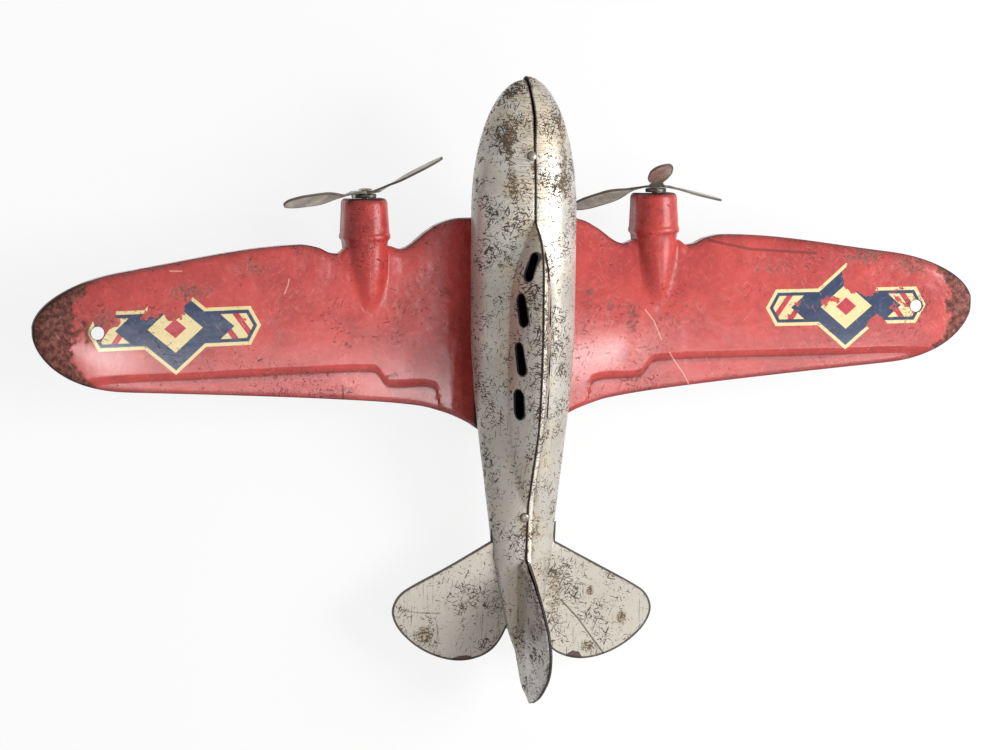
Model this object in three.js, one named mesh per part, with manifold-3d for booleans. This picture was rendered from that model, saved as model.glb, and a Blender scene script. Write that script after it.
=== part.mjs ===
// Pressed steel toy airplane: a twin-engine airliner of stamped, tabbed and riveted sheet pieces.
// Millimetres, +Z up, nose along +Y, right wing along +X, standing on two wheels and a tail skid.
import * as THREE from 'three';
import { mergeVertices } from 'three/addons/utils/BufferGeometryUtils.js';
import Module from 'manifold-3d';

const wasm = await Module();
wasm.setup();
const radians = THREE.MathUtils.degToRad;

// Sheet, fits and stance
const sheet = 0.7;
const clearance = 0.3;
const seamHalfGap = 0.15;
const standPitch = radians(11);
const fuselageSkew = radians(-1.05);
const tailplaneSkew = radians(-1.85);

// Wing pressing
const halfSpan = 162.8;
const tipLength = 30.8;
const tipPower = 2.3;
const tipRatio = 0.997;
const dihedral = Math.tan(radians(6.8));
const centreSoftness = 8;
const rimDepth = 3.6;
const edgeHeight = 1.2;
const camber = 1.5;
const leadingRadius = 4.5;
const trailingRadius = 2;
const creaseStep = 1.0;
const creaseWidth = 1.6;
const leadingEdge = [[0, 35.4], [18, 35.4], [25, 33.9], [30, 31.2], [37.5, 26], [43, 24.8], [59, 24.6],
  [63.5, 25], [68, 27], [74, 28.1], [137, 20.6], [162.8, 17.4]];
const trailingEdge = [[0, -38], [11, -37.6], [16, -34.6], [24, -30.7], [34, -27.6], [60, -24.2],
  [162.8, -15.4]];
const flangeWidth = [[0, 0], [25.5, 0], [28, 8.5], [44, 6.5], [49.5, 11.2], [73, 9.4], [113, 5.9],
  [136, 4.2], [150, 0]];
const tipHoleRadius = 2.15;
const tipHoleInset = 20.6;
const tipHoleY = 2;

// Engine nacelles, drawn out of the wing sheet
const nacelleX = 51;
const nacelleZ = 4.5;
const nacelleFront = 42.7;
const skirtDepth = 6;
const skirtBack = 21;
const nacelleSides = 20;
const nacelleProfile = [[-6, 0.4], [-1, 3.3], [8, 5.3], [18, 6.6], [26, 7.1], [28.6, 7.4],
  [29.5, 8.1], [30.4, 8.15], [31.3, 7.85], [38, 7.45], [41.6, 7.3], [42.7, 6.8]];

// Fuselage, lofted along Y from two mirrored pressings
const noseY = 82.9;
const noseSlip = 1.2;
const noseStart = 38;
const tailY = -126.6;
const sectionPower = 2.1;
const halfWidth = [[-126.6, 0], [-118, 0.3], [-112, 2], [-104, 4.8], [-94.5, 7.2], [-85, 9], [-75.5, 10.4],
  [-66.8, 11.3], [-53, 12.9], [-36, 15], [-19, 16.7], [-2, 17.6], [20, 17.7], [82.9, 17.7]];
const centreHeight = [[-126.6, 31], [-122, 24], [-117, 21.2], [-112, 20.4], [-105, 19.8], [-95, 18.8],
  [-80, 17.9], [-66, 17.2], [-40, 16.4], [0, 16], [82.9, 15.7]];
const crownHeight = [[-105, 21], [-95, 21.6], [-85, 22.2], [-75, 22.9], [-66.5, 23.7], [-40, 26.5],
  [-20, 28], [0, 29], [20, 29.6], [40, 29.9]];
const bellyHeight = [[-126.6, 30.5], [-125, 27], [-123, 21.4], [-121.3, 19.4], [-117.5, 16.5],
  [-113.5, 13.3], [-109.5, 10], [-105, 8.7], [-95, 7.6], [-80, 6], [-66, 4.5], [-40, 1.9], [-10, -0.4],
  [20, -0.6], [82.9, -0.5]];
const cabinRidge = [[-70, 20.5], [-60, 24.8], [-51, 28.9], [-42, 33.2], [-33, 36.9], [-16, 39.6], [0, 40.7],
  [18, 40.6], [24, 39.6], [28.5, 37.4], [33, 33], [36.5, 29], [40, 24]];
const cabinHalfWidth = [[-70, 0], [-60, 3], [-50, 5.2], [-38, 7.4], [-20, 8.7], [8, 8.7], [18, 7.4],
  [28, 4.2], [36.5, 0.6], [40, 0]];
const cabinBase = 22;
const rightCabinShare = 0.7;
const finTop = [[-126.6, 31.5], [-123.4, 38.4], [-119.5, 44.2], [-114.9, 49.4], [-110.5, 52.1],
  [-106.2, 52.7], [-102.2, 51.5], [-98.6, 49.3], [-95.2, 45.6], [-91.8, 41.7], [-88.5, 37], [-85.2, 32.2],
  [-82, 26.6], [-78.6, 21.8], [-74, 17]];
const finFoot = -73;
const finFront = -70;
const tipRun = 9;
const bladeFront = -104;
const flareBack = -118;
const flareRun = 14;
const finFlare = 2.2;
const finFlareDecay = 4;
const noseGape = { left: -0.25, right: 0.75 };
const noseGapeY = 69.5;
const noseGapeLength = 7;
const finGape = 0.55;
const finGapeY = -82;
const finGapeLength = 5;
const ridgePoints = 6;
const shoulderPoints = 3;
const bellyPoints = 4;

// Cabin windows in each fuselage half, slanted in the plane of the tilted wall
const windowTilt = radians(28);
const windows = [
  { y: 20.6, z: 37.1, slant: -10, length: 9.6, height: 4 },
  { y: 6.3, z: 35.3, slant: 12, length: 11, height: 4.3 },
  { y: -9.9, z: 34.5, slant: 10, length: 11, height: 4.1 },
  { y: -25.1, z: 33.1, slant: -3, length: 10, height: 4.7 },
];

// Tailplane sheet with the tongue that passes through the fuselage
const tailplaneX = 0.8;
const tailplaneZ = 17.8;
const tongueHalfWidth = 11.3;
const tongueShift = -1.1;
const tongueFront = -67;
const tongueBack = -73.7;
const tailplaneHalf = [[27, -82.4], [38.5, -88.3], [43.6, -91.5], [46, -96.4], [45.2, -100.6],
  [42.2, -105.2], [36, -110.4], [28.4, -113.8], [21, -114.9], [14.6, -113.6], [10.2, -111], [7.4, -107.2],
  [5.6, -103]];
const notchHalfWidth = 3.2;
const notchY = -101.5;

// Propellers
const hubRadius = 3.6;
const bladeReach = 30.5;
const bendStart = 3.4;
const twistRun = 12;
const bladeRootHalfWidth = 3.2;
const neckRadius = 8.4;
const neckHalfWidth = 1.7;
const bladeHalfWidth = 4.2;
const shaftRadius = 1.4;
const shaftHole = 1.75;
const washerRadius = 3.6;
const washerThickness = 1.3;
// Root and bend are the lean of a blade inside and outside its neck, in degrees forwards
const propellerBlades = {
  left: [{ angle: 163.4, root: -13, bend: -5, twist: 29 }, { angle: 37.4, root: 24, bend: 24.5, twist: 16 },
    { angle: 280, root: -6, bend: -9, twist: 8 }],
  right: [{ angle: 104, root: 18, bend: 17, twist: 14 }, { angle: 210, root: -11, bend: -17, twist: 27 },
    { angle: 337.1, root: -10, bend: -12, twist: 12 }],
};

// Undercarriage
const wheelRadius = 11;
const wheelWidth = 8;
const wheelX = 29;
const axleY = 13;
const axleRadius = 1.2;
const axleZ = -12.4;
const axleHole = 1.5;
const bracketHalfWidth = 22;
const bracketLength = 18;
const earWidth = 9;
const capRadius = 3.2;
const capThickness = 1.6;
const bracketRivetInset = 4;

// Rivets, straps and tail skid
const rivetHead = 1.5;
const rivetHeadHeight = 0.8;
const rivetShank = 0.8;
const rivetHole = 1.1;
const strapLength = 8;
const strapWidth = 7;
const seamRivetX = -1;
const seamRivetY = { front: 56.6, rear: -64.6 };
const skidY = -92;
const skidWidth = 5;
const skidThickness = 1;
const skidFlange = 9;
const skidFoot = 8;
const skidRivetLift = 0.5;

// Fuselage tabs clinched under the wing
const tabWidth = 6;
const tabFold = 4.5;
const tabRise = 2.2;
const tabStations = [27, -24];

// Reach of the cutting shapes
const bayHalfWidth = 24;
const bayDepth = 20;
const cutterLength = 10;
const tipCutterLength = 30;

// Materials
function paint(color, roughness, metalness) {
  return new THREE.MeshStandardMaterial({ color, roughness, metalness });
}

const redPaint = paint(0xb3393c, 0.38, 0.1);
const silverPaint = paint(0xb0aca2, 0.45, 0.5);
const tinPlate = paint(0x8d8578, 0.42, 0.85);
const darkSteel = paint(0x4c443d, 0.55, 0.8);
const steelWire = paint(0x77716a, 0.4, 0.9);
const blackWood = paint(0x1f1d1c, 0.6, 0);

// A smooth curve through points that never overshoots them
function curve(points) {
  const xs = points.map((p) => p[0]);
  const ys = points.map((p) => p[1]);
  const last = xs.length - 1;
  const slope = xs.slice(1).map((x, i) => (ys[i + 1] - ys[i]) / (x - xs[i]));
  const tangent = xs.map((x, i) => {
    if (i === 0) return slope[0];
    if (i === last) return slope[last - 1];
    if (slope[i - 1] * slope[i] <= 0) return 0;
    return 2 / (1 / slope[i - 1] + 1 / slope[i]);
  });
  return (x) => {
    if (x <= xs[0]) return ys[0];
    if (x >= xs[last]) return ys[last];
    let i = 0;
    while (x > xs[i + 1]) i += 1;
    const h = xs[i + 1] - xs[i];
    const t = (x - xs[i]) / h;
    const a = ys[i] * (1 + 2 * t) * (1 - t) ** 2 + ys[i + 1] * t * t * (3 - 2 * t);
    return a + h * (tangent[i] * t * (1 - t) ** 2 + tangent[i + 1] * t * t * (t - 1));
  };
}

const smooth = (t) => {
  const c = Math.min(Math.max(t, 0), 1);
  return c * c * (3 - 2 * c);
};
const bump = (y, at, length) => Math.exp(-(((y - at) / length) ** 2));

function spread(from, to, count) {
  return Array.from({ length: count + 1 }, (_, i) => from + (to - from) * i / count);
}

// Closed geometry from points and triangles: merges shared corners and turns the faces outwards
function closedGeometry(points, triangles) {
  let geometry = new THREE.BufferGeometry().setFromPoints(points);
  geometry.setIndex(triangles.flat());
  geometry = mergeVertices(geometry, 1e-4);
  const index = geometry.getIndex().array;
  const position = geometry.getAttribute('position');
  const kept = [];
  let volume = 0;
  const corner = (i) => new THREE.Vector3().fromBufferAttribute(position, i);
  for (let i = 0; i < index.length; i += 3) {
    const [a, b, c] = [index[i], index[i + 1], index[i + 2]];
    if (a !== b && b !== c && a !== c) {
      kept.push([a, b, c]);
      volume += corner(a).dot(corner(b).cross(corner(c)));
    }
  }
  geometry.setIndex((volume < 0 ? kept.map(([a, b, c]) => [a, c, b]) : kept).flat());
  return geometry;
}

function toSolid(geometry) {
  const bare = geometry.clone();
  for (const name of Object.keys(bare.attributes)) {
    if (name !== 'position') bare.deleteAttribute(name);
  }
  const merged = mergeVertices(bare, 1e-4);
  const vertProperties = new Float32Array(merged.getAttribute('position').array);
  const triVerts = new Uint32Array(merged.getIndex().array);
  return new wasm.Manifold(new wasm.Mesh({ numProp: 3, vertProperties, triVerts }));
}

function fromSolid(solid) {
  const mesh = solid.getMesh();
  const geometry = new THREE.BufferGeometry();
  geometry.setAttribute('position', new THREE.BufferAttribute(new Float32Array(mesh.vertProperties), 3));
  geometry.setIndex(Array.from(mesh.triVerts));
  return geometry;
}

const join = (...solids) => solids.reduce((a, b) => a.add(b));
const cut = (solid, ...tools) => tools.reduce((a, b) => a.subtract(b), solid);

// A sheet between two equal grids of points, closed round its four edges
function sheetSolid(outer, inner) {
  const rows = outer.length;
  const cols = outer[0].length;
  const points = [...outer.flat(), ...inner.flat()];
  const o = (i, j) => i * cols + j;
  const n = (i, j) => rows * cols + i * cols + j;
  const triangles = [];
  const quad = (a, b, c, d) => triangles.push([a, b, c], [a, c, d]);
  for (let i = 0; i < rows - 1; i += 1) {
    for (let j = 0; j < cols - 1; j += 1) {
      quad(o(i, j), o(i + 1, j), o(i + 1, j + 1), o(i, j + 1));
      quad(n(i, j), n(i, j + 1), n(i + 1, j + 1), n(i + 1, j));
    }
    quad(o(i, 0), n(i, 0), n(i + 1, 0), o(i + 1, 0));
    quad(o(i, cols - 1), o(i + 1, cols - 1), n(i + 1, cols - 1), n(i, cols - 1));
  }
  for (let j = 0; j < cols - 1; j += 1) {
    quad(o(0, j), o(0, j + 1), n(0, j + 1), n(0, j));
    quad(o(rows - 1, j), n(rows - 1, j), n(rows - 1, j + 1), o(rows - 1, j + 1));
  }
  return toSolid(closedGeometry(points, triangles));
}

// A loft through closed sections of equal point counts, capped at both ends
function loftSolid(sections) {
  const count = sections[0].length;
  const points = sections.flat();
  const triangles = [];
  for (let i = 0; i < sections.length - 1; i += 1) {
    for (let j = 0; j < count; j += 1) {
      const k = (j + 1) % count;
      const [a, b, c, d] = [i * count + j, i * count + k, (i + 1) * count + k, (i + 1) * count + j];
      triangles.push([a, b, c], [a, c, d]);
    }
  }
  const lastRow = (sections.length - 1) * count;
  for (let j = 1; j < count - 1; j += 1) {
    triangles.push([0, j + 1, j], [lastRow, lastRow + j, lastRow + j + 1]);
  }
  return toSolid(closedGeometry(points, triangles));
}

function moved(geometry, x, y, z) {
  return geometry.clone().translate(x, y, z);
}

// A round bar along the given axis, centred on the origin
function bar(radius, length, axis, sides = 20) {
  const geometry = new THREE.CylinderGeometry(radius, radius, length, sides);
  if (axis === 'x') geometry.rotateZ(Math.PI / 2);
  if (axis === 'z') geometry.rotateX(Math.PI / 2);
  return geometry;
}

// Wing surface
const tipStart = halfSpan - tipLength;
const tipHoleX = halfSpan - tipHoleInset;
const leadingCurve = curve(leadingEdge);
const trailingCurve = curve(trailingEdge);
const flangeCurve = curve(flangeWidth);

function tipFactor(x) {
  const t = Math.min(Math.max((Math.abs(x) - tipStart) / tipLength, 0), 1) * tipRatio;
  return Math.sqrt(1 - t ** tipPower);
}

function wingEdges(x) {
  const a = Math.abs(x);
  const front = leadingCurve(a);
  const back = trailingCurve(a);
  const middle = (front + back) / 2 + 2.2 * smooth((a - tipStart) / tipLength);
  const s = tipFactor(a);
  return { front: middle + (front - middle) * s, back: middle + (back - middle) * s };
}

const edgePlane = (x) => dihedral * Math.hypot(x, centreSoftness);

// Height of the wing's upper face above its edge plane
function wingRise(x, y) {
  const a = Math.abs(x);
  const { front, back } = wingEdges(a);
  const reach = Math.min((front - y) / leadingRadius, (y - back) / trailingRadius,
    (halfSpan - a) / leadingRadius);
  const edge = Math.sqrt(1 - (1 - Math.min(Math.max(reach, 0), 1)) ** 2);
  const along = Math.min(Math.max((front - y) / (front - back), 0), 1);
  const crown = camber * Math.sin(Math.PI * along ** 0.75) * (1 - 0.45 * a / halfSpan);
  const crease = back + flangeCurve(a);
  const flange = 1 - smooth((y - crease) / creaseWidth + 0.5);
  const hasFlange = smooth(flangeCurve(a) / 3);
  return edge * (edgeHeight + crown - creaseStep * flange * hasFlange);
}

const wingTop = (x, y) => edgePlane(x) + wingRise(x, y);

// Chordwise section of the filled wing, drawn in by inset and lowered by the same amount
function wingSection(x, inset, depth) {
  const shrink = (halfSpan - inset) / halfSpan;
  const { front, back } = wingEdges(x);
  const nose = front - inset;
  const tail = back + inset;
  const place = (y, z) => new THREE.Vector3(x * shrink, y, z);
  const stops = [0, 0.02, 0.07, 0.18, 0.4, 0.6, 0.72, 0.79, 0.85, 0.92, 0.975, 1];
  const top = stops.map((f) => {
    const y = nose + (tail - nose) * f;
    const source = front + (back - front) * f;
    return place(y, wingTop(x, source) - inset);
  });
  const bottom = edgePlane(x) - rimDepth - depth;
  return [place(nose, bottom), ...top, place(tail, bottom)];
}

function wingStations() {
  const inner = [0, 10, 20, 25, 30, 36, ...[-9, 9, 14, 18, 23].map((step) => nacelleX + step)];
  const tip = [0.18, 0.46, 0.7, 0.87, 0.965, 1].map((f) => tipStart + tipLength * f);
  const half = [...inner, ...spread(nacelleX + 23, tipStart, 4).slice(1, -1), ...tip];
  return [...half.slice(1).reverse().map((x) => -x), ...half];
}

// Nacelle as a turned barrel and tail cone over an open skirt
function nacelleSolid(side, inset, depth) {
  const back = nacelleProfile[0][0] + inset * 4;
  const profile = nacelleProfile.filter(([y]) => y > back && y < nacelleFront - inset - 0.05)
    .map(([y, r]) => new THREE.Vector2(Math.max(r - inset, 0.3), y));
  const frontRadius = nacelleProfile[nacelleProfile.length - 1][1] - inset;
  const outline = [new THREE.Vector2(0, back), ...profile,
    new THREE.Vector2(frontRadius, nacelleFront - inset), new THREE.Vector2(0, nacelleFront - inset)];
  const barrel = moved(new THREE.LatheGeometry(outline, nacelleSides), side * nacelleX, 0, nacelleZ);
  const radius = curve(nacelleProfile);
  const ys = spread(skirtBack - depth, nacelleFront - inset, 8);
  const plan = new THREE.Shape([
    ...ys.map((y) => new THREE.Vector2(radius(y) - inset, y)),
    ...ys.reverse().map((y) => new THREE.Vector2(inset - radius(y), y)),
  ]);
  const height = skirtDepth + depth;
  const skirt = new THREE.ExtrudeGeometry(plan, { depth: height, bevelEnabled: false });
  return join(toSolid(barrel), toSolid(moved(skirt, side * nacelleX, 0, nacelleZ - height)));
}

// Fuselage section functions, all drawn in by inset to give the inner face
const widthCurve = curve(halfWidth);
const centreCurve = curve(centreHeight);
const crownCurve = curve(crownHeight);
const bellyCurve = curve(bellyHeight);
const ridgeCurve = curve(cabinRidge);
const cabinCurve = curve(cabinHalfWidth);
const finCurve = curve(finTop);
const noseTip = (side) => noseY - (side < 0 ? noseSlip : 0);

// Distance of a pressing's edge from the middle plane; the bent left edge crosses it at the nose
function halfGapAt(y, side) {
  const gape = side < 0 ? noseGape.left : noseGape.right;
  const atFin = finGape * bump(y, finGapeY, finGapeLength);
  return seamHalfGap + gape * bump(y, noseGapeY, noseGapeLength) + atFin;
}

function noseFactor(y, inset, side) {
  const t = Math.max(y - noseStart, 0) / (noseTip(side) - inset - noseStart);
  return Math.sqrt(Math.max(1 - t * t, 0));
}

function fuselageSection(y, inset, side = 1) {
  const nose = noseFactor(y, inset, side);
  const width = Math.max(widthCurve(y) - inset, 0) * nose;
  const centre = centreCurve(y);
  const fullCrown = crownCurve(y);
  const crown = centre + Math.max(fullCrown - centre - inset, 0) * nose;
  const fullFin = finCurve(y);
  const isFin = smooth((fullFin - fullCrown) / 3) * (y < finFront ? 1 : 0);
  const isBlade = smooth((bladeFront - y) / 8);
  const belly = centre + (bellyCurve(y) + inset * (1 - isBlade) - centre) * nose;
  const cabin = Math.max(cabinCurve(y) * (side > 0 ? rightCabinShare : 1) - inset, 0);
  const ridge = cabin > 0 ? ridgeCurve(y) - inset : 0;
  const fin = isFin > 0 ? fullFin - inset * (1 - isFin) : 0;
  const gap = halfGapAt(y, side);
  const metal = inset > 0 ? 0 : sheet;
  return { y, width, centre, crown, belly, cabin, ridge, fin, gap, metal, isFin, isBlade,
    top: Math.max(crown, ridge, fin) };
}

function blendMax(a, b, reach) {
  const k = Math.min(reach, 1.2 * Math.min(a, b));
  const h = k > 0 ? Math.max(k - Math.abs(a - b), 0) / k : 0;
  return Math.max(a, b) + h * h * k / 4;
}

// Half-breadth of the fuselage section at height z
function halfBreadth(s, z) {
  const span = z > s.centre ? s.crown - s.centre : s.centre - s.belly;
  const t = Math.min(Math.abs(z - s.centre) / Math.max(span, 1e-6), 1);
  let breadth = s.width * (1 - t ** sectionPower) ** (1 / sectionPower);
  if (s.cabin > 0 && z > cabinBase && s.ridge > cabinBase) {
    const u = Math.min((z - cabinBase) / (s.ridge - cabinBase), 1);
    breadth = blendMax(breadth, s.cabin * (1 - u ** 2.2) ** 0.62, 3);
  }
  let least = s.gap + s.metal * s.isBlade;
  if (s.isFin > 0 && z > s.centre) {
    const root = s.centre + (s.crown - s.centre) * 0.8;
    const flare = finFlare * Math.exp(-Math.max(z - root, 0) / finFlareDecay);
    const ends = smooth((s.y - flareBack) / flareRun);
    least = Math.max(least, s.gap + s.isFin * (s.metal + flare * ends));
  }
  return Math.max(breadth, least);
}

// Points down one side of a section: ridge or fin, shoulder, then belly, with equal counts at every station
function sectionOutline(y, inset, side) {
  const s = fuselageSection(y, inset, side);
  const root = s.centre + (s.crown - s.centre) * 0.85;
  const outline = [new THREE.Vector2(s.gap + s.metal * s.isFin, s.top)];
  const add = (z) => outline.push(new THREE.Vector2(halfBreadth(s, z), z));
  for (const f of spread(0, 1, ridgePoints).slice(1)) {
    add(s.top + (root - s.top) * ((1 - s.isFin) * f * f + s.isFin * f * (2 - f)));
  }
  for (const f of spread(0, 1, shoulderPoints).slice(1)) add(root + (s.centre - root) * f ** 0.8);
  for (const f of spread(0, 1, bellyPoints).slice(1)) {
    add(s.centre + (s.belly - s.centre) * Math.sin(Math.PI / 2 * f));
  }
  outline.push(new THREE.Vector2(s.gap + s.metal * s.isBlade, s.belly));
  return outline;
}

function fuselageStations(side) {
  const start = noseStart + 4;
  const nose = spread(0, Math.PI / 2, 8).map((t) => start + (noseTip(side) - start) * Math.sin(t));
  const fin = [...spread(tailY, tailY + tipRun, 3), ...spread(tailY + 1.5 * tipRun, finFoot, 8)];
  const strap = [-4, 0, 4].map((step) => seamRivetY.rear + step);
  const back = [...strap, ...spread(seamRivetY.rear + tipRun, 0, 4)];
  return [...fin, ...back, ...spread(noseStart / 2, noseStart - 1, 5), noseStart + 1, ...nose];
}

// One fuselage pressing: side is 1 for the right half and -1 for the left
function fuselageShell(side) {
  const stations = fuselageStations(side);
  const row = (y, inset) => {
    const shift = inset * (Math.max(y - noseStart, 0) / (noseTip(side) - noseStart)) ** 2;
    const at = y - shift;
    return sectionOutline(at, inset, side).map((p) => new THREE.Vector3(side * p.x, at, p.y));
  };
  return sheetSolid(stations.map((y) => row(y, 0)), stations.map((y) => row(y, sheet)));
}

function windowCutter(side, opening) {
  const round = opening.height / 2;
  const straight = opening.length / 2 - round;
  const shape = new THREE.Shape();
  shape.moveTo(-straight, -round);
  shape.lineTo(straight, -round);
  shape.absarc(straight, 0, round, -Math.PI / 2, Math.PI / 2);
  shape.lineTo(-straight, round);
  shape.absarc(-straight, 0, round, Math.PI / 2, Math.PI * 1.5);
  const deep = cutterLength * 0.7;
  const geometry = new THREE.ExtrudeGeometry(shape, { depth: deep, bevelEnabled: false, curveSegments: 5 });
  geometry.translate(0, 0, -deep / 2);
  geometry.rotateZ(radians(-opening.slant * side));
  geometry.rotateZ(side > 0 ? Math.PI / 2 : -Math.PI / 2);
  geometry.rotateY(side * (Math.PI / 2 - windowTilt));
  const x = side * halfBreadth(fuselageSection(opening.y, 0, side), opening.z);
  return toSolid(moved(geometry, x, opening.y, opening.z));
}

// Placement of the fuselage on the wing
const fuselageMatrix = new THREE.Matrix4().makeRotationZ(fuselageSkew);
const wingInFuselage = fuselageMatrix.clone().invert();

// Everything below the wing's upper face, with clearance, in the fuselage's own frame
function wingBay() {
  const xs = spread(-bayHalfWidth, bayHalfWidth, 16);
  const fractions = [0, 0.02, 0.06, 0.14, 0.26, 0.4, 0.55, 0.7, 0.82, 0.92, 0.98, 1];
  const sections = xs.map((x) => {
    const { front, back } = wingEdges(x);
    const nose = front + clearance;
    const tail = back - clearance;
    const top = fractions.map((f) => {
      const y = nose + (tail - nose) * f;
      return new THREE.Vector3(x, y, wingTop(x, front + (back - front) * f) + clearance);
    });
    return [new THREE.Vector3(x, nose, -bayDepth), ...top, new THREE.Vector3(x, tail, -bayDepth)];
  });
  const geometry = fromSolid(loftSolid(sections));
  geometry.applyMatrix4(wingInFuselage);
  return toSolid(geometry);
}

// Highest level that a flat plate under the wing can reach
function underWing(fromX, toX, fromY, toY) {
  let least = Infinity;
  for (const x of spread(fromX, toX, 6)) {
    for (const y of spread(fromY, toY, 8)) least = Math.min(least, wingTop(x, y) - sheet);
  }
  return least - clearance;
}

// A fuselage tab: down through its slot in the wing and folded flat underneath
function tabShape(side, y, grow) {
  const level = wingTop(12, y) + tabRise;
  const x = halfBreadth(fuselageSection(y, 0), level - tabRise / 2) - sheet;
  const seat = underWing(x - tabFold, x + sheet, y - tabWidth / 2, y + tabWidth / 2);
  const tall = level - seat + sheet;
  const up = new THREE.BoxGeometry(sheet + 2 * grow, tabWidth + 2 * grow, tall);
  const under = new THREE.BoxGeometry(tabFold, tabWidth, sheet);
  const stem = toSolid(moved(up, side * x, y, level - tall / 2));
  if (grow > 0) return stem;
  return join(stem, toSolid(moved(under, side * (x + sheet / 2 - tabFold / 2), y, seat - sheet / 2)));
}

// Tailplane
function tailplaneShape(grow) {
  const side = (sign) => {
    const edge = tongueHalfWidth + sign * tongueShift;
    const half = [[edge, tongueFront], [edge, tongueBack], ...tailplaneHalf, [notchHalfWidth, notchY]];
    return half.map(([x, y]) => new THREE.Vector2(sign * x, y));
  };
  const depth = sheet + 2 * grow;
  const shape = new THREE.Shape([...side(1), ...side(-1).reverse()]);
  const geometry = new THREE.ExtrudeGeometry(shape, { depth, bevelEnabled: false });
  const middle = (tongueBack + notchY) / 2;
  geometry.translate(0, -middle, 0);
  geometry.rotateZ(tailplaneSkew);
  return toSolid(moved(geometry, tailplaneX, middle, tailplaneZ - depth / 2));
}

// Seam and underside heights of the fuselage along its centre line
const seamTop = (y) => fuselageSection(y, 0).top;
const bellyOutside = (y) => fuselageSection(y, 0).belly;
const bellyInside = (y) => fuselageSection(y, sheet).belly;

// Tilt of the seam along Y at a rivet
const seamSlope = (y) => Math.atan2(seamTop(y + 1) - seamTop(y - 1), 2);

// Height of the fuselage's inner face at a distance x from the seam
function insideHeight(x, y) {
  const section = fuselageSection(y, sheet);
  let z = section.top;
  while (halfBreadth(section, z) < x) z -= 0.02;
  return z;
}

// Height above the seam at which a rivet head clears the curve of the seam
function headLift(y) {
  const rise = Math.tan(seamSlope(y));
  return Math.max(...[-rivetHead, rivetHead].map((e) => seamTop(y + e) - seamTop(y) - rise * e), 0);
}

// Depth below the seam at which a strap clears both halves
function strapDepth(y) {
  const rise = Math.tan(seamSlope(y));
  const depths = [-1, 0, 1].map((end) => {
    const along = end * strapLength / 2;
    return seamTop(y) + rise * along - insideHeight(strapWidth / 2 - seamRivetX, y + along);
  });
  return Math.max(...depths) + clearance;
}

// A clinched rivet along +Z: domed head above, shank and flat clinch below the grip
function rivetSolid(head, headHeight, shank, grip, seat = clearance) {
  const profile = [[0, -grip - seat - 0.6], [head * 0.8, -grip - seat - 0.6], [head * 0.85, -grip - seat],
    [shank, -grip - seat], [shank, seat], [head, seat], [head * 0.9, seat + headHeight * 0.45],
    [head * 0.55, seat + headHeight * 0.85], [0, seat + headHeight]];
  const points = profile.map(([r, y]) => new THREE.Vector2(r, y));
  return new THREE.LatheGeometry(points, 12).rotateX(Math.PI / 2);
}

// Small plate inside the seam that the rivet pulls both halves against
function strapSolid() {
  const shape = new THREE.Shape();
  const [w, l, r] = [strapWidth / 2, strapLength / 2, 1.5];
  shape.moveTo(-w + r, -l);
  shape.lineTo(w - r, -l);
  shape.absarc(w - r, -l + r, r, -Math.PI / 2, 0);
  shape.absarc(w - r, l - r, r, 0, Math.PI / 2);
  shape.absarc(-w + r, l - r, r, Math.PI / 2, Math.PI);
  shape.absarc(-w + r, -l + r, r, Math.PI, Math.PI * 1.5);
  const hole = new THREE.Path().absarc(0, 0, rivetHole, 0, Math.PI * 2, true);
  shape.holes.push(hole);
  return new THREE.ExtrudeGeometry(shape, { depth: sheet, bevelEnabled: false, curveSegments: 3 });
}

// Propeller: flat hub and three twisted, bent blades, in its own frame with the shaft along Y
function bladeSolid({ angle, root, bend, twist }) {
  const outward = (f) => neckRadius + f * (bladeReach - neckRadius);
  const paddle = [[0.19, 0.76], [0.43, 1], [0.71, 0.97], [0.89, 0.74], [0.97, 0.48], [1, 0.12]];
  const width = curve([[0, bladeRootHalfWidth], [bendStart * 0.6, bladeRootHalfWidth],
    [neckRadius, neckHalfWidth], ...paddle.map(([f, share]) => [outward(f), bladeHalfWidth * share])]);
  const radii = [bendStart / 2, bendStart, (bendStart + neckRadius) / 2,
    ...[0, 0.1, 0.21, 0.39, 0.57, 0.75, 0.88, 0.965, 1].map(outward)];
  const across = spread(-1, 1, 2);
  const turn = radians(angle);
  const inner = radians(root);
  const outer = radians(bend);
  const surface = (offset) => radii.map((r) => across.map((u) => {
    const near = Math.min(Math.max(r - bendStart, 0), neckRadius - bendStart);
    const far = Math.max(r - neckRadius, 0);
    const atNeck = smooth((r - neckRadius + 1) / 2);
    const lean = inner * smooth((r - bendStart + 1) / 2) + (outer - inner) * atNeck;
    const turned = -radians(twist) * smooth((r - bendStart) / twistRun);
    const half = width(r) * u;
    const lift = half * Math.sin(turned) + offset * Math.cos(turned);
    const side = half * Math.cos(turned) - offset * Math.sin(turned);
    const along = Math.min(r, bendStart) + near * Math.cos(inner) + far * Math.cos(outer);
    const reach = along - lift * Math.sin(lean);
    const forward = near * Math.sin(inner) + far * Math.sin(outer) + lift * Math.cos(lean);
    return new THREE.Vector3(reach * Math.cos(turn) - side * Math.sin(turn), forward,
      reach * Math.sin(turn) + side * Math.cos(turn));
  }));
  return sheetSolid(surface(sheet / 2), surface(-sheet / 2));
}

function propellerSolid(blades) {
  const hub = toSolid(bar(hubRadius, sheet, 'y', 24));
  const body = join(hub, ...blades.map(bladeSolid));
  return cut(body, toSolid(bar(shaftHole, sheet * 6, 'y', 20)));
}

// Stacking along the propeller shaft, from the nacelle face forwards
const washerY = nacelleFront + clearance + washerThickness / 2;
const propellerY = nacelleFront + washerThickness + sheet / 2 + 2 * clearance;

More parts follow.
